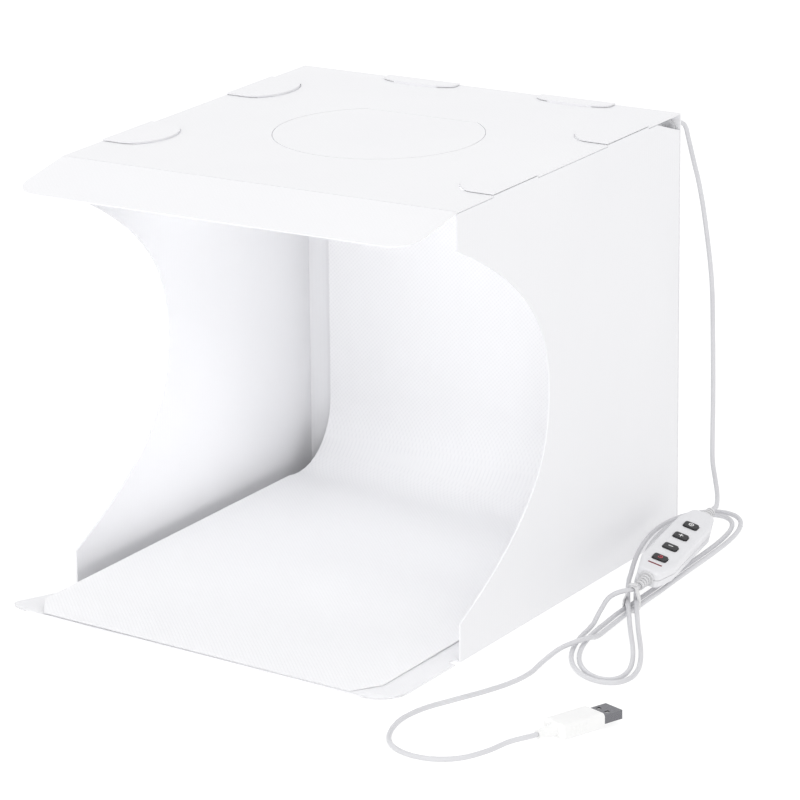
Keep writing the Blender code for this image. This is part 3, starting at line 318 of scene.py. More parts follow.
def eight(turns):
    """A point of the figure eight, by turns since the first pass through the waist."""
    phase = 2 * math.pi * turns
    in_front = math.sin(phase) >= 0
    lobe = FRONT_LOBE if in_front else REAR_LOBE
    fullness = FRONT_FULLNESS_SHARE if in_front else REAR_FULLNESS_SHARE

    def base(angle):
        sine, cosine = math.sin(angle), math.cos(angle)
        across = -lobe * OPENING_SHARE * sine * cosine * (1 + fullness * sine**2)
        return Vector((across, -lobe * sine))

    travel = (base(phase + TRAVEL_STEP) - base(phase - TRAVEL_STEP)).normalized()
    aside = Vector((-travel.y, travel.x))
    spot = base(phase) + aside * (STRAND_PITCH * (turns - HANK_TURNS / 2))
    layer = 1 if math.cos(phase) < 0 else 0
    if turns < FIRST_STRAND_TURNS:
        layer = 2
    return on_hank(spot.x, spot.y, table_level(spot.y) + layer * crossing_level(spot.y))


def case_frame():
    """Place of the controller over the rear lobe, its own X axis pointing away from the waist."""
    ahead, aside = hank_axes()
    spot = Vector((*HANK_PLACE, CASE_LIFT)) + ahead * CASE_AHEAD + aside * CASE_ASIDE
    heading = Matrix.Rotation(HANK_HEADING - CASE_TURN, 4, "Z")
    turn = heading @ Matrix.Rotation(-CASE_PITCH, 4, "Y")
    return Matrix.Translation(spot) @ turn @ Matrix.Rotation(CASE_ROLL, 4, "X")


def plug_frame():
    """Place of the plug on the table, its own X axis pointing to its sleeve."""
    spot = Vector((*PLUG_PLACE, CLEAR / 3))
    return Matrix.Translation(spot) @ Matrix.Rotation(PLUG_HEADING, 4, "Z")


def relief_end(direction):
    """Where the cord meets the strain relief at one end of the controller."""
    reach = CASE_LENGTH / 2 + RELIEF_OUT + CLEAR
    return case_frame() @ Vector((direction * reach, 0, CASE_AXIS))


def hank_points():
    """Controller to waist, the turns, and a little of the way down the front lobe."""
    start = relief_end(-1)
    goal = eight(LEAD_IN_TURNS)
    out = -(case_frame().to_3x3() @ Vector((1, 0, 0)))
    into = (eight(LEAD_IN_TURNS + LEAD_IN_LOOK) - goal).normalized()
    reach = (goal - start).length
    points = [start]
    for step in range(LEAD_IN_POINTS):
        share = (step + 1) / (LEAD_IN_POINTS + 1)
        ease = share * share * (3 - 2 * share)
        leaving = start + out * (reach * share)
        arriving = goal - into * (reach * (1 - share))
        points.append(leaving.lerp(arriving, ease))
    final = HANK_TURNS + math.asin(LEAVE_AT / FRONT_LOBE) / (2 * math.pi)
    wound = final - LEAD_IN_TURNS
    count = round(wound * POINTS_PER_TURN)
    points += [eight(LEAD_IN_TURNS + wound * index / count) for index in range(count + 1)]
    last = (points[-1] - points[-2]).normalized()
    return points + [points[-1] + last * END_RUN]


def tail_points(last, heading):
    """The free end: from the front lobe over the table to the plug."""
    start = last + heading * CLEAR
    end = plug_frame() @ Vector((-CLEAR, 0, PLUG_HEIGHT / 2))
    into = plug_frame().to_3x3() @ Vector((1, 0, 0))
    waist = Vector((*HANK_PLACE, 0))
    route = [start, start + heading * END_RUN] + [waist + Vector(point) for point in TAIL_ROUTE]
    return smooth_route(route + [end - into * END_RUN, end])


def drop_points():
    """The hanging cord: from the grommet down behind the box to the controller."""
    start = GROMMET + Vector((0, CLEAR + GROMMET_BOOT + CLEAR, 0))
    end = relief_end(1)
    back = case_frame().to_3x3() @ Vector((1, 0, 0))
    corner = Vector((SIDE, BACK, 0))
    route = [start, start + Vector((0, END_RUN, 0))]
    route += [corner + Vector(point) for point in DROP_ROUTE]
    return smooth_route(route + [end + back * away for away in DROP_ARRIVES] + [end])


def inner_points():
    """The lamp's cord: from the ring's edge under the roof to the grommet."""
    level = TRAY_TOP - TRAY_HEIGHT / 2
    outward = Vector((math.sin(INNER_LEAVES_AT), math.cos(INNER_LEAVES_AT), 0))
    start = Vector((0, HATCH_MIDDLE, level)) + outward * (RING_OUTER + CLEAR)
    end = Vector((GROMMET.x, BACK - SHEET - CLEAR - GROMMET_FLANGE - CLEAR, GROMMET.z))
    leaves = start + outward * INNER_EASE
    arrives = end - Vector((0, 2 * INNER_EASE, 0))
    route = [start, leaves, leaves.lerp(arrives, 1 / 3), leaves.lerp(arrives, 2 / 3), arrives,
             end - Vector((0, INNER_EASE, 0)), end]
    return smooth_route(route)


def node_group(name, inputs, outputs):
    """An empty shader group with its sockets, and its two end nodes."""
    tree = bpy.data.node_groups.new(name, "ShaderNodeTree")
    kind = "NodeSocketFloat"
    for label, value in inputs:
        socket = tree.interface.new_socket(name=label, in_out="INPUT", socket_type=kind)
        socket.default_value = value
    for label in outputs:
        tree.interface.new_socket(name=label, in_out="OUTPUT", socket_type=kind)
    return tree, tree.nodes.new("NodeGroupInput"), tree.nodes.new("NodeGroupOutput")


def add(tree, kind, **settings):
    """A new node with its settings."""
    node = tree.nodes.new(kind)
    for label, value in settings.items():
        setattr(node, label, value)
    return node


def link(tree, source, target):
    """Joins an output to an input."""
    tree.links.new(source, target)


def maths(tree, operation, first, second=None, clamp=False):
    """A Math node, fed by sockets or numbers; gives its output."""
    node = add(tree, "ShaderNodeMath", operation=operation, use_clamp=clamp)
    for socket, value in zip(node.inputs, (first, second)):
        if isinstance(value, bpy.types.NodeSocket):
            link(tree, value, socket)
        elif value is not None:
            socket.default_value = value
    return node.outputs[0]


def object_place(tree, turn=0.0):
    """Object coordinates, turned about the vertical."""
    place = add(tree, "ShaderNodeTexCoord")
    mapping = add(tree, "ShaderNodeMapping")
    mapping.inputs["Rotation"].default_value[2] = turn
    link(tree, place.outputs["Object"], mapping.inputs["Vector"])
    return mapping.outputs["Vector"]


def embossed_dots():
    """Rows of small raised dots, as rolled into sheet plastic."""
    tree, start, end = node_group(
        "embossed_dots", [("Pitch", DOT_PITCH), ("Softness", 0.25), ("Lean", 1.0)], ["Height"])
    place = add(tree, "ShaderNodeTexCoord")
    parts = add(tree, "ShaderNodeSeparateXYZ")
    flat = add(tree, "ShaderNodeCombineXYZ")
    link(tree, place.outputs["Object"], parts.inputs[0])
    lean = maths(tree, "MULTIPLY", parts.outputs["Z"], start.outputs["Lean"])
    link(tree, maths(tree, "ADD", parts.outputs["X"], lean), flat.inputs["X"])
    link(tree, maths(tree, "SUBTRACT", parts.outputs["Y"], parts.outputs["Z"]), flat.inputs["Y"])
    mapping = add(tree, "ShaderNodeMapping")
    mapping.inputs["Rotation"].default_value[2] = DOT_TURN
    link(tree, flat.outputs[0], mapping.inputs["Vector"])
    dots = add(tree, "ShaderNodeTexVoronoi", voronoi_dimensions="2D", feature="F1")
    dots.inputs["Randomness"].default_value = 0
    link(tree, mapping.outputs[0], dots.inputs["Vector"])
    link(tree, maths(tree, "DIVIDE", 1.0, start.outputs["Pitch"]), dots.inputs["Scale"])
    high = maths(tree, "SUBTRACT", DOT_EDGE, dots.outputs["Distance"])
    dome = maths(tree, "DIVIDE", high, start.outputs["Softness"], clamp=True)
    link(tree, dome, end.inputs["Height"])
    return tree


def fine_grain():
    """Two sizes of noise: a mould's fine texture and slow uneven shading."""
    tree, start, end = node_group(
        "fine_grain", [("Grain Size", 0.0006), ("Cloud Size", 0.05)], ["Grain", "Cloud"])
    place = object_place(tree)
    for label in ("Grain", "Cloud"):
        noise = add(tree, "ShaderNodeTexNoise", noise_dimensions="3D")
        noise.inputs["Detail"].default_value = 3
        link(tree, place, noise.inputs["Vector"])
        scale = maths(tree, "DIVIDE", 1.0, start.outputs[label + " Size"])
        link(tree, scale, noise.inputs["Scale"])
        link(tree, noise.outputs[0], end.inputs[label])
    return tree


DOTS = embossed_dots()
GRAIN = fine_grain()


def use_group(tree, group, **values):
    """A group's node, its inputs set by name."""
    node = add(tree, "ShaderNodeGroup", node_tree=group)
    for label, value in values.items():
        node.inputs[label.replace("_", " ")].default_value = value
    return node


def new_material(name, roughness, **shader_values):
    """A material with a Principled shader whose plain sockets are set."""
    material = bpy.data.materials.new(name)
    material.use_nodes = True
    tree = material.node_tree
    shader = tree.nodes["Principled BSDF"]
    shader.inputs["Roughness"].default_value = roughness
    for label, value in shader_values.items():
        shader.inputs[label.replace("_", " ")].default_value = value
    return material, tree, shader


def shade_between(tree, factor, low, high):
    """A colour between two, by a value."""
    mix = add(tree, "ShaderNodeMix", data_type="RGBA")
    mix.inputs[6].default_value = (*low, 1)
    mix.inputs[7].default_value = (*high, 1)
    link(tree, factor, mix.inputs[0])
    return mix.outputs[2]


def spread(tree, value, low, high):
    """Turns a 0 to 1 value into a range of its own."""
    node = add(tree, "ShaderNodeMapRange")
    node.inputs["To Min"].default_value = low
    node.inputs["To Max"].default_value = high
    link(tree, value, node.inputs["Value"])
    return node.outputs[0]


def bump(tree, shader, height, distance):
    """Fine relief of a given depth on a shader."""
    node = add(tree, "ShaderNodeBump")
    node.inputs["Distance"].default_value = distance
    node.inputs["Strength"].default_value = 1.0
    link(tree, height, node.inputs["Height"])
    link(tree, node.outputs[0], shader.inputs["Normal"])


def sheet_plastic(name, low, high, roughness, dot_depth, dot_highlight_share, lean):
    """White sheet with fine embossed dots, their crowns coloured lighter as painted highlight, a
    trace of cloudiness and a satin face.
    """
    material, tree, shader = new_material(name, roughness, Specular_IOR_Level=0.35)
    dots = use_group(tree, DOTS, Pitch=DOT_PITCH, Lean=lean)
    grain = use_group(tree, GRAIN, Grain_Size=0.0004, Cloud_Size=0.09)
    cloud = maths(tree, "MULTIPLY", grain.outputs["Cloud"], 1 - dot_highlight_share)
    # painted highlight: the dots' raised crowns are coloured lighter than the sheet between them
    shade = maths(tree, "MULTIPLY", dots.outputs["Height"], dot_highlight_share)
    factor = maths(tree, "ADD", cloud, shade, clamp=True)
    link(tree, shade_between(tree, factor, low, high), shader.inputs["Base Color"])
    link(tree, spread(tree, grain.outputs["Grain"], roughness - 0.08, roughness + 0.08),
         shader.inputs["Roughness"])
    grit = maths(tree, "MULTIPLY", grain.outputs["Grain"], 0.5)
    bump(tree, shader, maths(tree, "ADD", dots.outputs["Height"], grit), dot_depth)
    return material


def moulded(name, low, high, roughness, grain_depth, grain_size=0.0005, **shader_values):
    """Moulded plastic or rubber with a fine spark texture."""
    material, tree, shader = new_material(name, roughness, **shader_values)
    grain = use_group(tree, GRAIN, Grain_Size=grain_size, Cloud_Size=0.02)
    link(tree, shade_between(tree, grain.outputs["Cloud"], low, high), shader.inputs["Base Color"])
    link(tree, spread(tree, grain.outputs["Grain"], roughness - 0.07, roughness + 0.07),
         shader.inputs["Roughness"])
    bump(tree, shader, grain.outputs["Grain"], grain_depth)
    return material


def lamp_cover():
    """Frosted cover, lit from within by its ring of chips."""
    material, tree, shader = new_material("frosted_cover", 0.55, Emission_Strength=COVER_GLOW)
    place = add(tree, "ShaderNodeTexCoord")
    parts = add(tree, "ShaderNodeSeparateXYZ")
    link(tree, place.outputs["Object"], parts.inputs[0])
    aside = maths(tree, "SUBTRACT", parts.outputs["Y"], HATCH_MIDDLE)
    angle = maths(tree, "ARCTAN2", aside, parts.outputs["X"])
    wave = maths(tree, "COSINE", maths(tree, "MULTIPLY", angle, LED_COUNT))
    x2 = maths(tree, "MULTIPLY", parts.outputs["X"], parts.outputs["X"])
    radius = maths(tree, "SQRT", maths(tree, "ADD", x2, maths(tree, "MULTIPLY", aside, aside)))
    off = maths(tree, "ABSOLUTE", maths(tree, "SUBTRACT", radius, (RING_INNER + RING_OUTER) / 2))
    middle = maths(tree, "SUBTRACT", 1.0, maths(tree, "MULTIPLY", off, GLOW_FALL), clamp=True)
    glow = maths(tree, "MULTIPLY", middle, spread(tree, wave, 0.35, 1.0))
    face = shade_between(tree, glow, (0.80, 0.81, 0.80), (0.97, 0.97, 0.93))
    light = shade_between(tree, glow, (0.45, 0.46, 0.47), (1.0, 0.98, 0.93))
    link(tree, face, shader.inputs["Base Color"])
    link(tree, light, shader.inputs["Emission Color"])
    grain = use_group(tree, GRAIN, Grain_Size=0.0005, Cloud_Size=0.03)
    bump(tree, shader, grain.outputs["Grain"], 0.00005)
    return material


def light_board():
    """White board with faint tracks, and yellow phosphor on the chips that stand below it."""
    material, tree, shader = new_material("light_board", 0.4)
    place = add(tree, "ShaderNodeTexCoord")
    parts = add(tree, "ShaderNodeSeparateXYZ")
    link(tree, place.outputs["Object"], parts.inputs[0])
    below = maths(tree, "LESS_THAN", parts.outputs["Z"], BOARD_LEVEL - CHIP_MARGIN)
    tracks = add(tree, "ShaderNodeTexWave", wave_type="RINGS", rings_direction="Z")
    tracks.inputs["Scale"].default_value = 90
    tracks.inputs["Distortion"].default_value = 1.5
    link(tree, place.outputs["Object"], tracks.inputs["Vector"])
    board = shade_between(tree, tracks.outputs["Fac"], (0.78, 0.79, 0.77), (0.90, 0.90, 0.88))
    mix = add(tree, "ShaderNodeMix", data_type="RGBA")
    mix.inputs[7].default_value = (0.95, 0.72, 0.18, 1)
    link(tree, below, mix.inputs[0])
    link(tree, board, mix.inputs[6])
    link(tree, mix.outputs[2], shader.inputs["Base Color"])
    grain = use_group(tree, GRAIN, Grain_Size=0.0008, Cloud_Size=0.02)
    bump(tree, shader, grain.outputs["Grain"], 0.00004)
    return material


def ribbed_boot():
    """Rubber with painted shade in its grooves, at a pitch along the controller, so they read
    darker than its ribs.
    """
    material, tree, shader = new_material("ribbed_boot", 0.42)
    place = add(tree, "ShaderNodeTexCoord")
    own = case_frame().inverted()
    mapping = add(tree, "ShaderNodeMapping")
    mapping.inputs["Location"].default_value = own.translation
    mapping.inputs["Rotation"].default_value = own.to_euler()
    parts = add(tree, "ShaderNodeSeparateXYZ")
    link(tree, place.outputs["Object"], mapping.inputs["Vector"])
    link(tree, mapping.outputs[0], parts.inputs[0])
    along = maths(tree, "SUBTRACT", maths(tree, "ABSOLUTE", parts.outputs["X"]), RIBS_START)
    wave = maths(tree, "COSINE", maths(tree, "MULTIPLY", along, 2 * math.pi / RIB_PITCH))
    beyond = maths(tree, "GREATER_THAN", along, -RIB_PITCH / 4)
    # painted shade: the grooves between the ribs are coloured dark
    groove_shade = maths(tree, "MULTIPLY", spread(tree, wave, -1.2, 1.4), beyond, clamp=True)
    grain = use_group(tree, GRAIN, Grain_Size=0.0005, Cloud_Size=0.02)
    cloud = maths(tree, "MULTIPLY", grain.outputs["Cloud"], 0.2)
    factor = maths(tree, "ADD", groove_shade, cloud, clamp=True)
    shade = shade_between(tree, factor, (0.74, 0.74, 0.75), (0.16, 0.16, 0.17))
    link(tree, shade, shader.inputs["Base Color"])
    link(tree, spread(tree, grain.outputs["Grain"], 0.35, 0.50), shader.inputs["Roughness"])
    bump(tree, shader, grain.outputs["Grain"], 0.00002)
    return material


def rolled_metal():
    """Plated sleeve with fine rolling lines along the plug; its bright plate is coloured dark, as
    painted reflection of dark surroundings.
    """
    material, tree, shader = new_material("rolled_metal", 0.24, Metallic=1.0)
    place = add(tree, "ShaderNodeTexCoord")
    mapping = add(tree, "ShaderNodeMapping")
    mapping.inputs["Rotation"].default_value[2] = -PLUG_HEADING
    mapping.inputs["Scale"].default_value = (60, 2500, 2500)
    link(tree, place.outputs["Object"], mapping.inputs["Vector"])
    noise = add(tree, "ShaderNodeTexNoise")
    noise.inputs["Detail"].default_value = 2
    link(tree, mapping.outputs[0], noise.inputs["Vector"])
    # painted reflection: the plate's colour is darkened to stand in for the dark surroundings it
    # mirrors
    link(tree, shade_between(tree, noise.outputs[0], (0.10, 0.10, 0.11), (0.30, 0.30, 0.32)),
         shader.inputs["Base Color"])
    link(tree, spread(tree, noise.outputs[0], 0.16, 0.34), shader.inputs["Roughness"])
    bump(tree, shader, noise.outputs[0], 0.00001)
    return material


def woven_tape(name, tone):
    """Short-looped tape: two crossed ribs under a fuzz of noise."""
    material, tree, shader = new_material(name, 0.9, Sheen_Weight=0.4)
    place = object_place(tree, math.radians(12))
    ribs = []
    for direction in ("X", "Z"):
        wave = add(tree, "ShaderNodeTexWave", wave_type="BANDS", bands_direction=direction)
        wave.inputs["Scale"].default_value = 420
        wave.inputs["Distortion"].default_value = 0.8
        link(tree, place, wave.inputs["Vector"])
        ribs.append(wave.outputs["Fac"])
    weave = maths(tree, "MULTIPLY", *ribs)
    grain = use_group(tree, GRAIN, Grain_Size=0.00035, Cloud_Size=0.01)
    height = maths(tree, "ADD", weave, grain.outputs["Grain"])
    darker = tuple(channel * 0.86 for channel in tone)
    link(tree, shade_between(tree, height, darker, tone), shader.inputs["Base Color"])
    bump(tree, shader, height, 0.00012)
    return material


# The finishes, each with its two tones, its roughness and the depth of its texture
# the panel's and backdrop's fourth number is how much painted highlight the dots carry
PANEL = sheet_plastic("frosted_panel", (0.775, 0.775, 0.795), (0.825, 0.825, 0.84),
                      0.42, 0.000015, 0.25, lean=1.0)
BACKDROP = sheet_plastic("backdrop_sheet", (0.79, 0.79, 0.81), (0.87, 0.87, 0.88),
                         0.55, 0.00004, 0.55, lean=0.0)
CASE = moulded("case_plastic", (0.70, 0.70, 0.72), (0.77, 0.77, 0.79), 0.32, 0.00001,
               Coat_Weight=0.15)
GRIP = moulded("grip_plastic", (0.80, 0.80, 0.80), (0.86, 0.86, 0.85), 0.36, 0.00001)
CAP = moulded("cap_rubber", (0.012, 0.012, 0.014), (0.03, 0.03, 0.032), 0.5, 0.00002)
CORD = moulded("cord_jacket", (0.56, 0.56, 0.58), (0.68, 0.68, 0.70), 0.38, 0.00002,
               grain_size=0.0009, Specular_IOR_Level=0.3)
BOOT = moulded("boot_rubber", (0.66, 0.66, 0.67), (0.74, 0.74, 0.75), 0.42, 0.00002)
RIBBED_BOOT = ribbed_boot()
COVER = lamp_cover()
BOARD = light_board()
METAL = rolled_metal()
TAPE = woven_tape("loop_tape", (0.86, 0.86, 0.85))
TIE = woven_tape("tie_tape", (0.72, 0.72, 0.73))
MARK = moulded("white_print", (0.80, 0.80, 0.80), (0.88, 0.88, 0.88), 0.5, 0.00001)
RED = moulded("red_print", (0.16, 0.012, 0.02), (0.24, 0.02, 0.03), 0.4, 0.00001)
SIGN_RED = moulded("bright_red_print", (0.50, 0.04, 0.07), (0.62, 0.07, 0.10), 0.4, 0.00001)
CONTACT = moulded("gilt_contact", (0.62, 0.42, 0.14), (0.75, 0.53, 0.22), 0.25, 0.00001,
                  Metallic=1.0)

# Which of the solids that stay in sight wear which finish
FINISHES = (
    (PANEL, ("back_panel", "roof_panel", "left_wall", "right_wall", "visor_panel", "hatch_flap",
             "tab_left_front", "tab_left_rear", "tab_right_front", "tab_right_rear")),
    (CASE, ("controller_top", "controller_bottom", "led_tray")),
    (CAP, ("button_1", "button_2", "button_3", "button_4")),
    (BOOT, ("cable_grommet",)),
    (RIBBED_BOOT, ("strain_relief_drop", "strain_relief_hank")),
    (GRIP, ("usb_grip",)),
    (MARK, ("usb_tongue",)),
    (METAL, ("usb_shell",)),
    (COVER, ("led_diffuser",)),
    (BOARD, ("led_board", "controller_circuit")),
    (TAPE, ("backdrop_pad_left", "backdrop_pad_right")),
)


def wear(data, material):
    """Gives a mesh or a curve its one material."""
    data.materials.clear()
    data.materials.append(material)


def dress_nodes():
    """Gives the solids their finishes."""
    for material, names in FINISHES:
        for name in names:
            wear(nodes[name].data, material)


def cord_piece(name, points, material):
    """A round cord on one open curve."""
    curve = bpy.data.curves.new(name, "CURVE")
    curve.dimensions = "3D"
    spline = curve.splines.new("POLY")
    spline.points.add(len(points) - 1)
    for slot, point in zip(spline.points, points):
        slot.co = (*point, 1)
    spline.use_smooth = True
    curve.bevel_depth = CORD_RADIUS
    curve.bevel_resolution = 4
    curve.use_fill_caps = True
    piece = bpy.data.objects.new(name, curve)
    bpy.context.scene.collection.objects.link(piece)
    wear(curve, material)
    return piece


def finish_piece(name, material, place):
    """Names the active piece, puts it in its place and gives it its finish."""
    bpy.ops.object.mode_set(mode="OBJECT")
    piece = bpy.context.active_object
    piece.name = piece.data.name = name
    piece.data.transform(piece.matrix_world)
    piece.matrix_world = place
    piece.data.transform(piece.matrix_world)
    piece.matrix_world = Matrix.Identity(4)
    bpy.ops.object.shade_smooth_by_angle(angle=TRIM_SMOOTH)
    wear(piece.data, material)
    return piece


def deselect():
    """Leaves edit mode, with nothing selected."""
    if bpy.context.mode != "OBJECT":
        bpy.ops.object.mode_set(mode="OBJECT")
    bpy.ops.object.select_all(action="DESELECT")


def bar(length, width, height, at=(0, 0, 0), edge=0.2):
    """A small bar with softened edges, as one object."""
    deselect()
    bpy.ops.mesh.primitive_cube_add(size=1, location=at)
    bpy.context.active_object.scale = (length, width, height)
    bpy.ops.object.transform_apply(location=False, rotation=False, scale=True)
    rounding = bpy.context.active_object.modifiers.new("edge", "BEVEL")
    rounding.width = min(width, height) * edge
    rounding.segments = 2
    rounding.limit_method = "ANGLE"
    bpy.ops.object.modifier_apply(modifier=rounding.name)
    return bpy.context.active_object


def hoop(radius, width, height, opening=0.0):
    """A flat ring, open over a part of its turn, made by spinning its section."""
    deselect()
    bpy.ops.mesh.primitive_plane_add(size=1, location=(radius, 0, 0), rotation=(math.pi / 2, 0, 0))
    bpy.context.active_object.scale = (width, height, 1)
    bpy.ops.object.transform_apply(location=True, rotation=True, scale=True)
    piece = bpy.context.active_object
    bpy.ops.object.mode_set(mode="EDIT")
    bpy.ops.mesh.select_all(action="SELECT")
    bpy.ops.mesh.spin(steps=HOOP_STEPS, angle=2 * math.pi - opening, center=(0, 0, 0),
                      axis=(0, 0, 1))
    bpy.ops.mesh.select_all(action="SELECT")
    bpy.ops.mesh.remove_doubles(threshold=HOOP_MERGE)
    bpy.ops.mesh.normals_make_consistent(inside=False)
    bpy.ops.object.mode_set(mode="OBJECT")
    centred = Matrix.Rotation(opening / 2, 3, "Z")
    for vertex in piece.data.vertices:
        vertex.co = centred @ vertex.co
    return piece


def join(pieces):
    """Makes one object of several, with its place in its mesh."""
    deselect()
    for piece in pieces:
        piece.select_set(True)
    bpy.context.view_layer.objects.active = pieces[0]
    if len(pieces) > 1:
        bpy.ops.object.join()
    bpy.ops.object.transform_apply(location=True, rotation=True, scale=True)
    return bpy.context.active_object


def button_marks():
    """Plain printed signs on the caps: on and off, less, more, and light colour."""
    thick, line, long = MARK_THICKNESS, MARK_LINE, MARK_LENGTH
    for number in range(1, 5):
        if number == 1:
            parts = [hoop(0.0011, line, thick, opening=math.radians(70)),
                     bar(0.0013, line, thick, (0.0007, 0, 0))]
        elif number == 2:
            parts = [bar(line, long, thick)]
        elif number == 3:
            parts = [bar(line, long, thick), bar(long, line, thick * 0.98)]
        else:
            parts = [hoop(0.0012, line, thick), bar(line * 1.4, line * 1.4, thick)]
        join(parts)
        spot = (FIRST_BUTTON + BUTTON_PITCH * (number - 1), 0, BUTTON_TOP + thick / 2)
        place = case_frame() @ Matrix.Translation(spot)
        sign = finish_piece("button_sign_%d" % number, SIGN_RED if number == 1 else MARK, place)
        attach(sign, "button_%d_body" % number)


def case_details():
    """A dark red line below the lowest button."""
    spot = (FIRST_BUTTON - INDICATOR_AWAY, 0, CASE_HEIGHT)
    bar(*INDICATOR_SIZE, edge=0.4)
    line = finish_piece("indicator_line", RED, case_frame() @ Matrix.Translation(spot))
    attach(line, "base")


def plug_details():
    """Grip ridges on the plug's flanks and the four contacts on its tongue."""
    ridges = []
    for side in (-1, 1):
        for number in range(RIDGE_COUNT):
            at = (RIDGES_FROM + RIDGE_PITCH * number, side * RIDGE_ASIDE, PLUG_HEIGHT / 2)
            ridges.append(bar(*RIDGE_SIZE, at, edge=0.45))
    join(ridges)
    ribs = finish_piece("grip_ridges", GRIP, plug_frame())
    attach(ribs, "base")
    contacts = []
    for number in range(CONTACT_COUNT):
        aside = (number - (CONTACT_COUNT - 1) / 2) * CONTACT_PITCH
        contacts.append(bar(*CONTACT_SIZE, (CONTACT_MIDDLE, aside, CONTACT_LEVEL), edge=0.3))
    join(contacts)
    pads = finish_piece("plug_contacts", CONTACT, plug_frame())
    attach(pads, "base")


def copy_of(node, name, material):
    """A new piece that starts as a merged copy of a solid, and stands for it."""
    deselect()
    piece = bpy.data.objects.new(name, nodes[node].data.copy())
    bpy.context.scene.collection.objects.link(piece)
    piece.select_set(True)
    bpy.context.view_layer.objects.active = piece
    bpy.ops.object.mode_set(mode="EDIT")
    bpy.ops.mesh.select_all(action="SELECT")
    bpy.ops.mesh.remove_doubles(threshold=SOLID_MERGE)
    bpy.ops.object.mode_set(mode="OBJECT")
    wear(piece.data, material)
    return piece


def cut_rows(places, direction):
    """Cuts the active piece across at a row of places, so that it can bend there."""
    bpy.ops.object.mode_set(mode="EDIT")
    for place in places:
        bpy.ops.mesh.select_all(action="SELECT")
        bpy.ops.mesh.bisect(plane_co=place, plane_no=direction)
    bpy.ops.mesh.select_all(action="SELECT")
    bpy.ops.mesh.remove_doubles(threshold=CLEAR)
    bpy.ops.object.mode_set(mode="OBJECT")


def sheet_rise(x):
    """How far the sheet stands up towards its left edge, as a share of its width."""
    return max(0.0, BACKDROP_WIDTH / 2 - x) / BACKDROP_WIDTH


def floor_sheet():
    """The floor and its lip, whose left corner springs up a little from the table."""
    piece = copy_of("floor_panel", "floor_sheet", PANEL)
    steps = range(FLOOR_STEPS)
    cut_rows([(0, FRONT - LIP * step / FLOOR_STEPS, 0) for step in steps], (0, 1, 0))
    cut_rows([(-SIDE + WIDTH * step / FLOOR_STEPS, 0, 0) for step in steps[1:]], (1, 0, 0))
    spring = BACKDROP_LIFT * (1 - SETTLED_SHARE)
    for vertex in piece.data.vertices:
        share = max(0.0, (FRONT - vertex.co.y) / LIP)
        vertex.co.z += spring * sheet_rise(vertex.co.x) * share**SPRING_POWER
    bpy.ops.object.shade_smooth_by_angle(angle=FLOOR_SMOOTH)
    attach(piece, "base")
    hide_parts("floor_panel")


def backdrop_sheet():
    """The sweep sheet, a little nearer the floor at the left and thinned at its front edge."""
    piece = copy_of("backdrop", "backdrop_sheet", BACKDROP)
    cut_rows([(0, 0, level) for level in BACKDROP_ROWS], (0, 0, 1))
    front_row = FRONT - LIP + BACKDROP_FRONT_GAP + CLEAR
    for vertex in piece.data.vertices:
        risen = sheet_rise(vertex.co.x)
        rest = min(1.0, max(0.0, (BACKDROP_REAR - vertex.co.y) / BACKDROP_SWEEP))
        vertex.co.z -= SETTLED_SHARE * BACKDROP_LIFT * rest * risen
        if vertex.co.y < front_row:
            under = SHEET + CLEAR + (1 - SETTLED_SHARE) * BACKDROP_LIFT * risen
            vertex.co.z = under - FRONT_ROW_DROP + FRONT_ROW_SHARE * (vertex.co.z - under)
    bpy.ops.object.shade_smooth_by_angle(angle=BACKDROP_SMOOTH)
    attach(piece, "base")
    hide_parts("backdrop")


def rear_tongues():
    """Two short lock tongues that lie on the roof along its rear edge."""
    for name, middle in TONGUES:
        piece = copy_of("tab_right_rear", name, PANEL)
        for vertex in piece.data.vertices:
            inboard, along = SIDE - vertex.co.x, vertex.co.y - TAB_MIDDLE
            vertex.co.x = middle + along
            vertex.co.y = BACK - TONGUE_INSET - inboard * TONGUE_REACH_SHARE
        bpy.ops.object.mode_set(mode="EDIT")
        bpy.ops.mesh.select_all(action="SELECT")
        bpy.ops.mesh.normals_make_consistent(inside=False)
        bpy.ops.object.mode_set(mode="OBJECT")
        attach(piece, "roof")


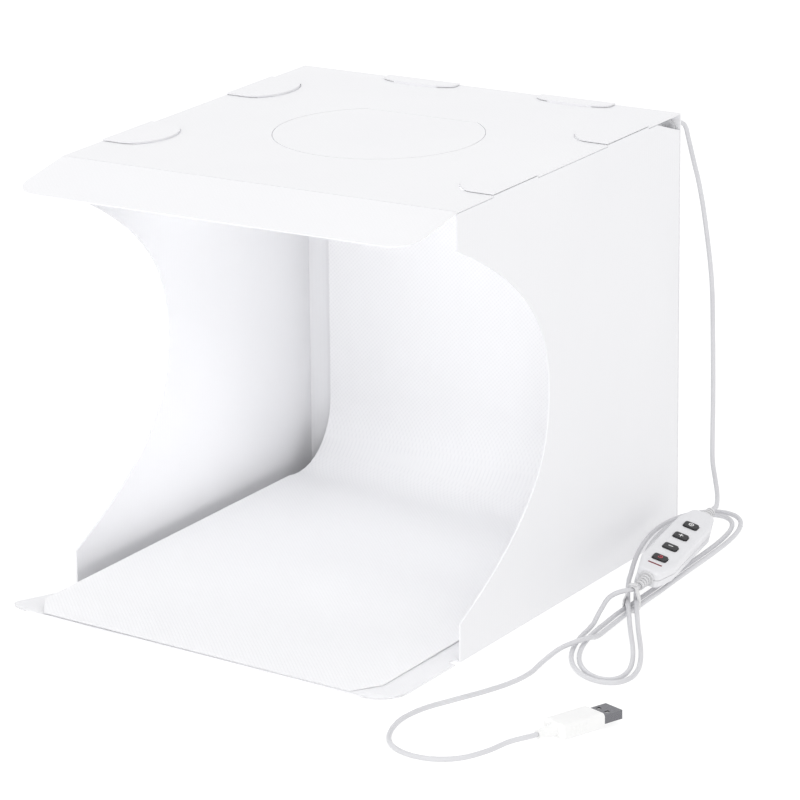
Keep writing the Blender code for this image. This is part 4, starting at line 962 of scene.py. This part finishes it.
def tie_strap(points):
    """A flat tie drawn tight round the strands at the waist, its end lapped over."""
    turn = Matrix.Rotation(HANK_HEADING - math.pi / 2, 4, "Z")
    place = Matrix.Translation(on_hank(0, TIE_AHEAD, 0)) @ turn
    inverse = place.inverted()
    local = [inverse @ point for point in points]
    strands = []
    for first, second in zip(local, local[1:]):
        if first.y * second.y <= 0 and abs(first.x) < WAIST_REACH:
            strands.append(first.lerp(second, first.y / (first.y - second.y)))
    posts = []
    for spot in strands:
        deselect()
        bpy.ops.mesh.primitive_cylinder_add(
            vertices=20, radius=CORD_RADIUS + CLEAR, depth=TIE_LENGTH,
            location=spot, rotation=(math.pi / 2, 0, 0))
        posts.append(bpy.context.active_object)
    top = max(spot.z for spot in strands) + CORD_RADIUS + CLEAR + TIE_THICKNESS
    join(posts)
    bpy.ops.object.mode_set(mode="EDIT")
    bpy.ops.mesh.select_all(action="SELECT")
    bpy.ops.mesh.convex_hull()
    bpy.ops.mesh.select_all(action="SELECT")
    bpy.ops.mesh.bisect(plane_co=(0, TIE_HALF_WIDTH, 0), plane_no=(0, 1, 0), clear_outer=True)
    bpy.ops.mesh.select_all(action="SELECT")
    bpy.ops.mesh.bisect(plane_co=(0, -TIE_HALF_WIDTH, 0), plane_no=(0, 1, 0), clear_inner=True)
    bpy.ops.mesh.select_all(action="SELECT")
    bpy.ops.mesh.normals_make_consistent(inside=False)
    bpy.ops.object.mode_set(mode="OBJECT")
    loop = bpy.context.active_object
    skin = loop.modifiers.new("skin", "SOLIDIFY")
    skin.thickness = TIE_THICKNESS
    skin.offset = 1
    bpy.ops.object.modifier_apply(modifier=skin.name)
    crown = max(strands, key=lambda spot: spot.z)
    lap_at = (crown.x, 0, top + TIE_THICKNESS * 0.35)
    lap = bar(LAP_LENGTH, TIE_LENGTH * 0.8, TIE_THICKNESS * 0.8, lap_at)
    join([loop, lap])
    strap = finish_piece("tie_strap", TIE, place)
    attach(strap, "base")
    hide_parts("hank_tie")
    return strap


def hinge_web(name, start, end, across):
    """The thinned crease that joins two panels along a straight line."""
    start, end, across = Vector(start), Vector(end), Vector(across).normalized()
    run = (end - start).normalized()
    normal = run.cross(across)
    deselect()
    bpy.ops.mesh.primitive_cube_add(size=1)
    web = bpy.context.active_object
    web.scale = ((end - start).length, WEB_WIDTH, WEB_THICKNESS)
    bpy.ops.object.transform_apply(scale=True)
    bpy.ops.object.mode_set(mode="EDIT")
    bpy.ops.mesh.select_all(action="SELECT")
    bpy.ops.mesh.subdivide(number_cuts=2)
    place = Matrix((run, across, normal)).transposed().to_4x4()
    middle = (start + end) / 2
    place.translation = middle
    web = finish_piece(name, PANEL, place)
    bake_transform(web)


def creases():
    """Thin webs of the sheet where the panels fold."""
    top = HEIGHT - FOLD
    edge = SIDE - CREASE_INSET
    visor = FRONT - CLEAR / 2
    hinge_web("visor_crease", (-edge, visor, top), (edge, visor, top),
              (0, -1, 0))
    hatch = HATCH_HINGE + HATCH_GAP / 2
    hinge_web("hatch_crease", (-HATCH_HALF_CHORD, hatch, HATCH_CREASE_LEVEL),
              (HATCH_HALF_CHORD, hatch, HATCH_CREASE_LEVEL), (0, -1, 0))
    rear = BACK - SHEET - CLEAR / 2
    inner = SIDE - SHEET - 2 * CLEAR
    hinge_web("back_crease", (-inner, rear, FOLD), (inner, rear, FOLD), (0, 1, 0))
    under = HEIGHT - SHEET - CLEAR / 2
    hinge_web("roof_crease", (-inner, BACK - FOLD, under),
              (inner, BACK - FOLD, under), (0, 0, 1))
    foot = SIDE - SHEET - CLEAR / 2
    for word, side in (("left", -1), ("right", 1)):
        hinge_web(word + "_wall_crease",
                  (side * foot, FRONT + CREASE_INSET, FOLD), (side * foot, rear - CLEAR, FOLD),
                  (side, 0, 0))


def as_mesh(piece):
    """Turns a curve's piece into the same shape as a mesh."""
    deselect()
    piece.select_set(True)
    bpy.context.view_layer.objects.active = piece
    bpy.ops.object.convert(target="MESH")


def free_cords():
    """The lead in its hank, the hanging cord, the lamp's cord, and the hank's tie."""
    hank = hank_points()
    heading = (hank[-1] - hank[-2]).normalized()
    lead_line = hank + tail_points(hank[-1], heading)[1:]
    lead = cord_piece("lead_cord", lead_line, CORD)
    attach(lead, "base")
    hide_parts("cord_hank", "cord_tail")
    drop_line = drop_points()
    drop = cord_piece("drop_cord", drop_line, CORD)
    as_mesh(drop)
    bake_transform(drop)
    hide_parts("cord_drop")
    inner_line = inner_points()
    inner = cord_piece("lamp_cord", inner_line, CORD)
    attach(inner, "roof")
    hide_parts("cord_inner")
    strap = tie_strap(hank)


def studio():
    """A pale floor that reads white, a bright surround and soft lamps."""
    deselect()
    bpy.ops.mesh.primitive_plane_add(size=FLOOR_SIZE, location=(0, 0, FLOOR_LEVEL))
    floor = bpy.context.active_object
    floor.name = "studio_floor"
    material, _, shader = new_material("pale_floor", 0.8, Emission_Strength=FLOOR_GLOW)
    shader.inputs["Base Color"].default_value = FLOOR_TONE
    shader.inputs["Emission Color"].default_value = WHITE
    floor.data.materials.append(material)
    world = bpy.data.worlds.new("studio")
    bpy.context.scene.world = world
    world.use_nodes = True
    sky = world.node_tree.nodes["Background"]
    sky.inputs["Color"].default_value = WHITE
    sky.inputs["Strength"].default_value = SURROUND
    for name, place, target, size, beam, power in LAMPS:
        data = bpy.data.lights.new(name, "AREA")
        data.energy = power
        data.size = size
        data.spread = math.radians(beam)
        lamp = bpy.data.objects.new(name, data)
        bpy.context.scene.collection.objects.link(lamp)
        lamp.location = place
        aim = Vector(target) - Vector(place)
        lamp.rotation_euler = aim.to_track_quat("-Z", "Y").to_euler()
    bpy.context.scene.view_settings.view_transform = "Standard"


camera()
free_cords()
dress_nodes()
floor_sheet()
backdrop_sheet()
rear_tongues()
button_marks()
case_details()
plug_details()
creases()
studio()
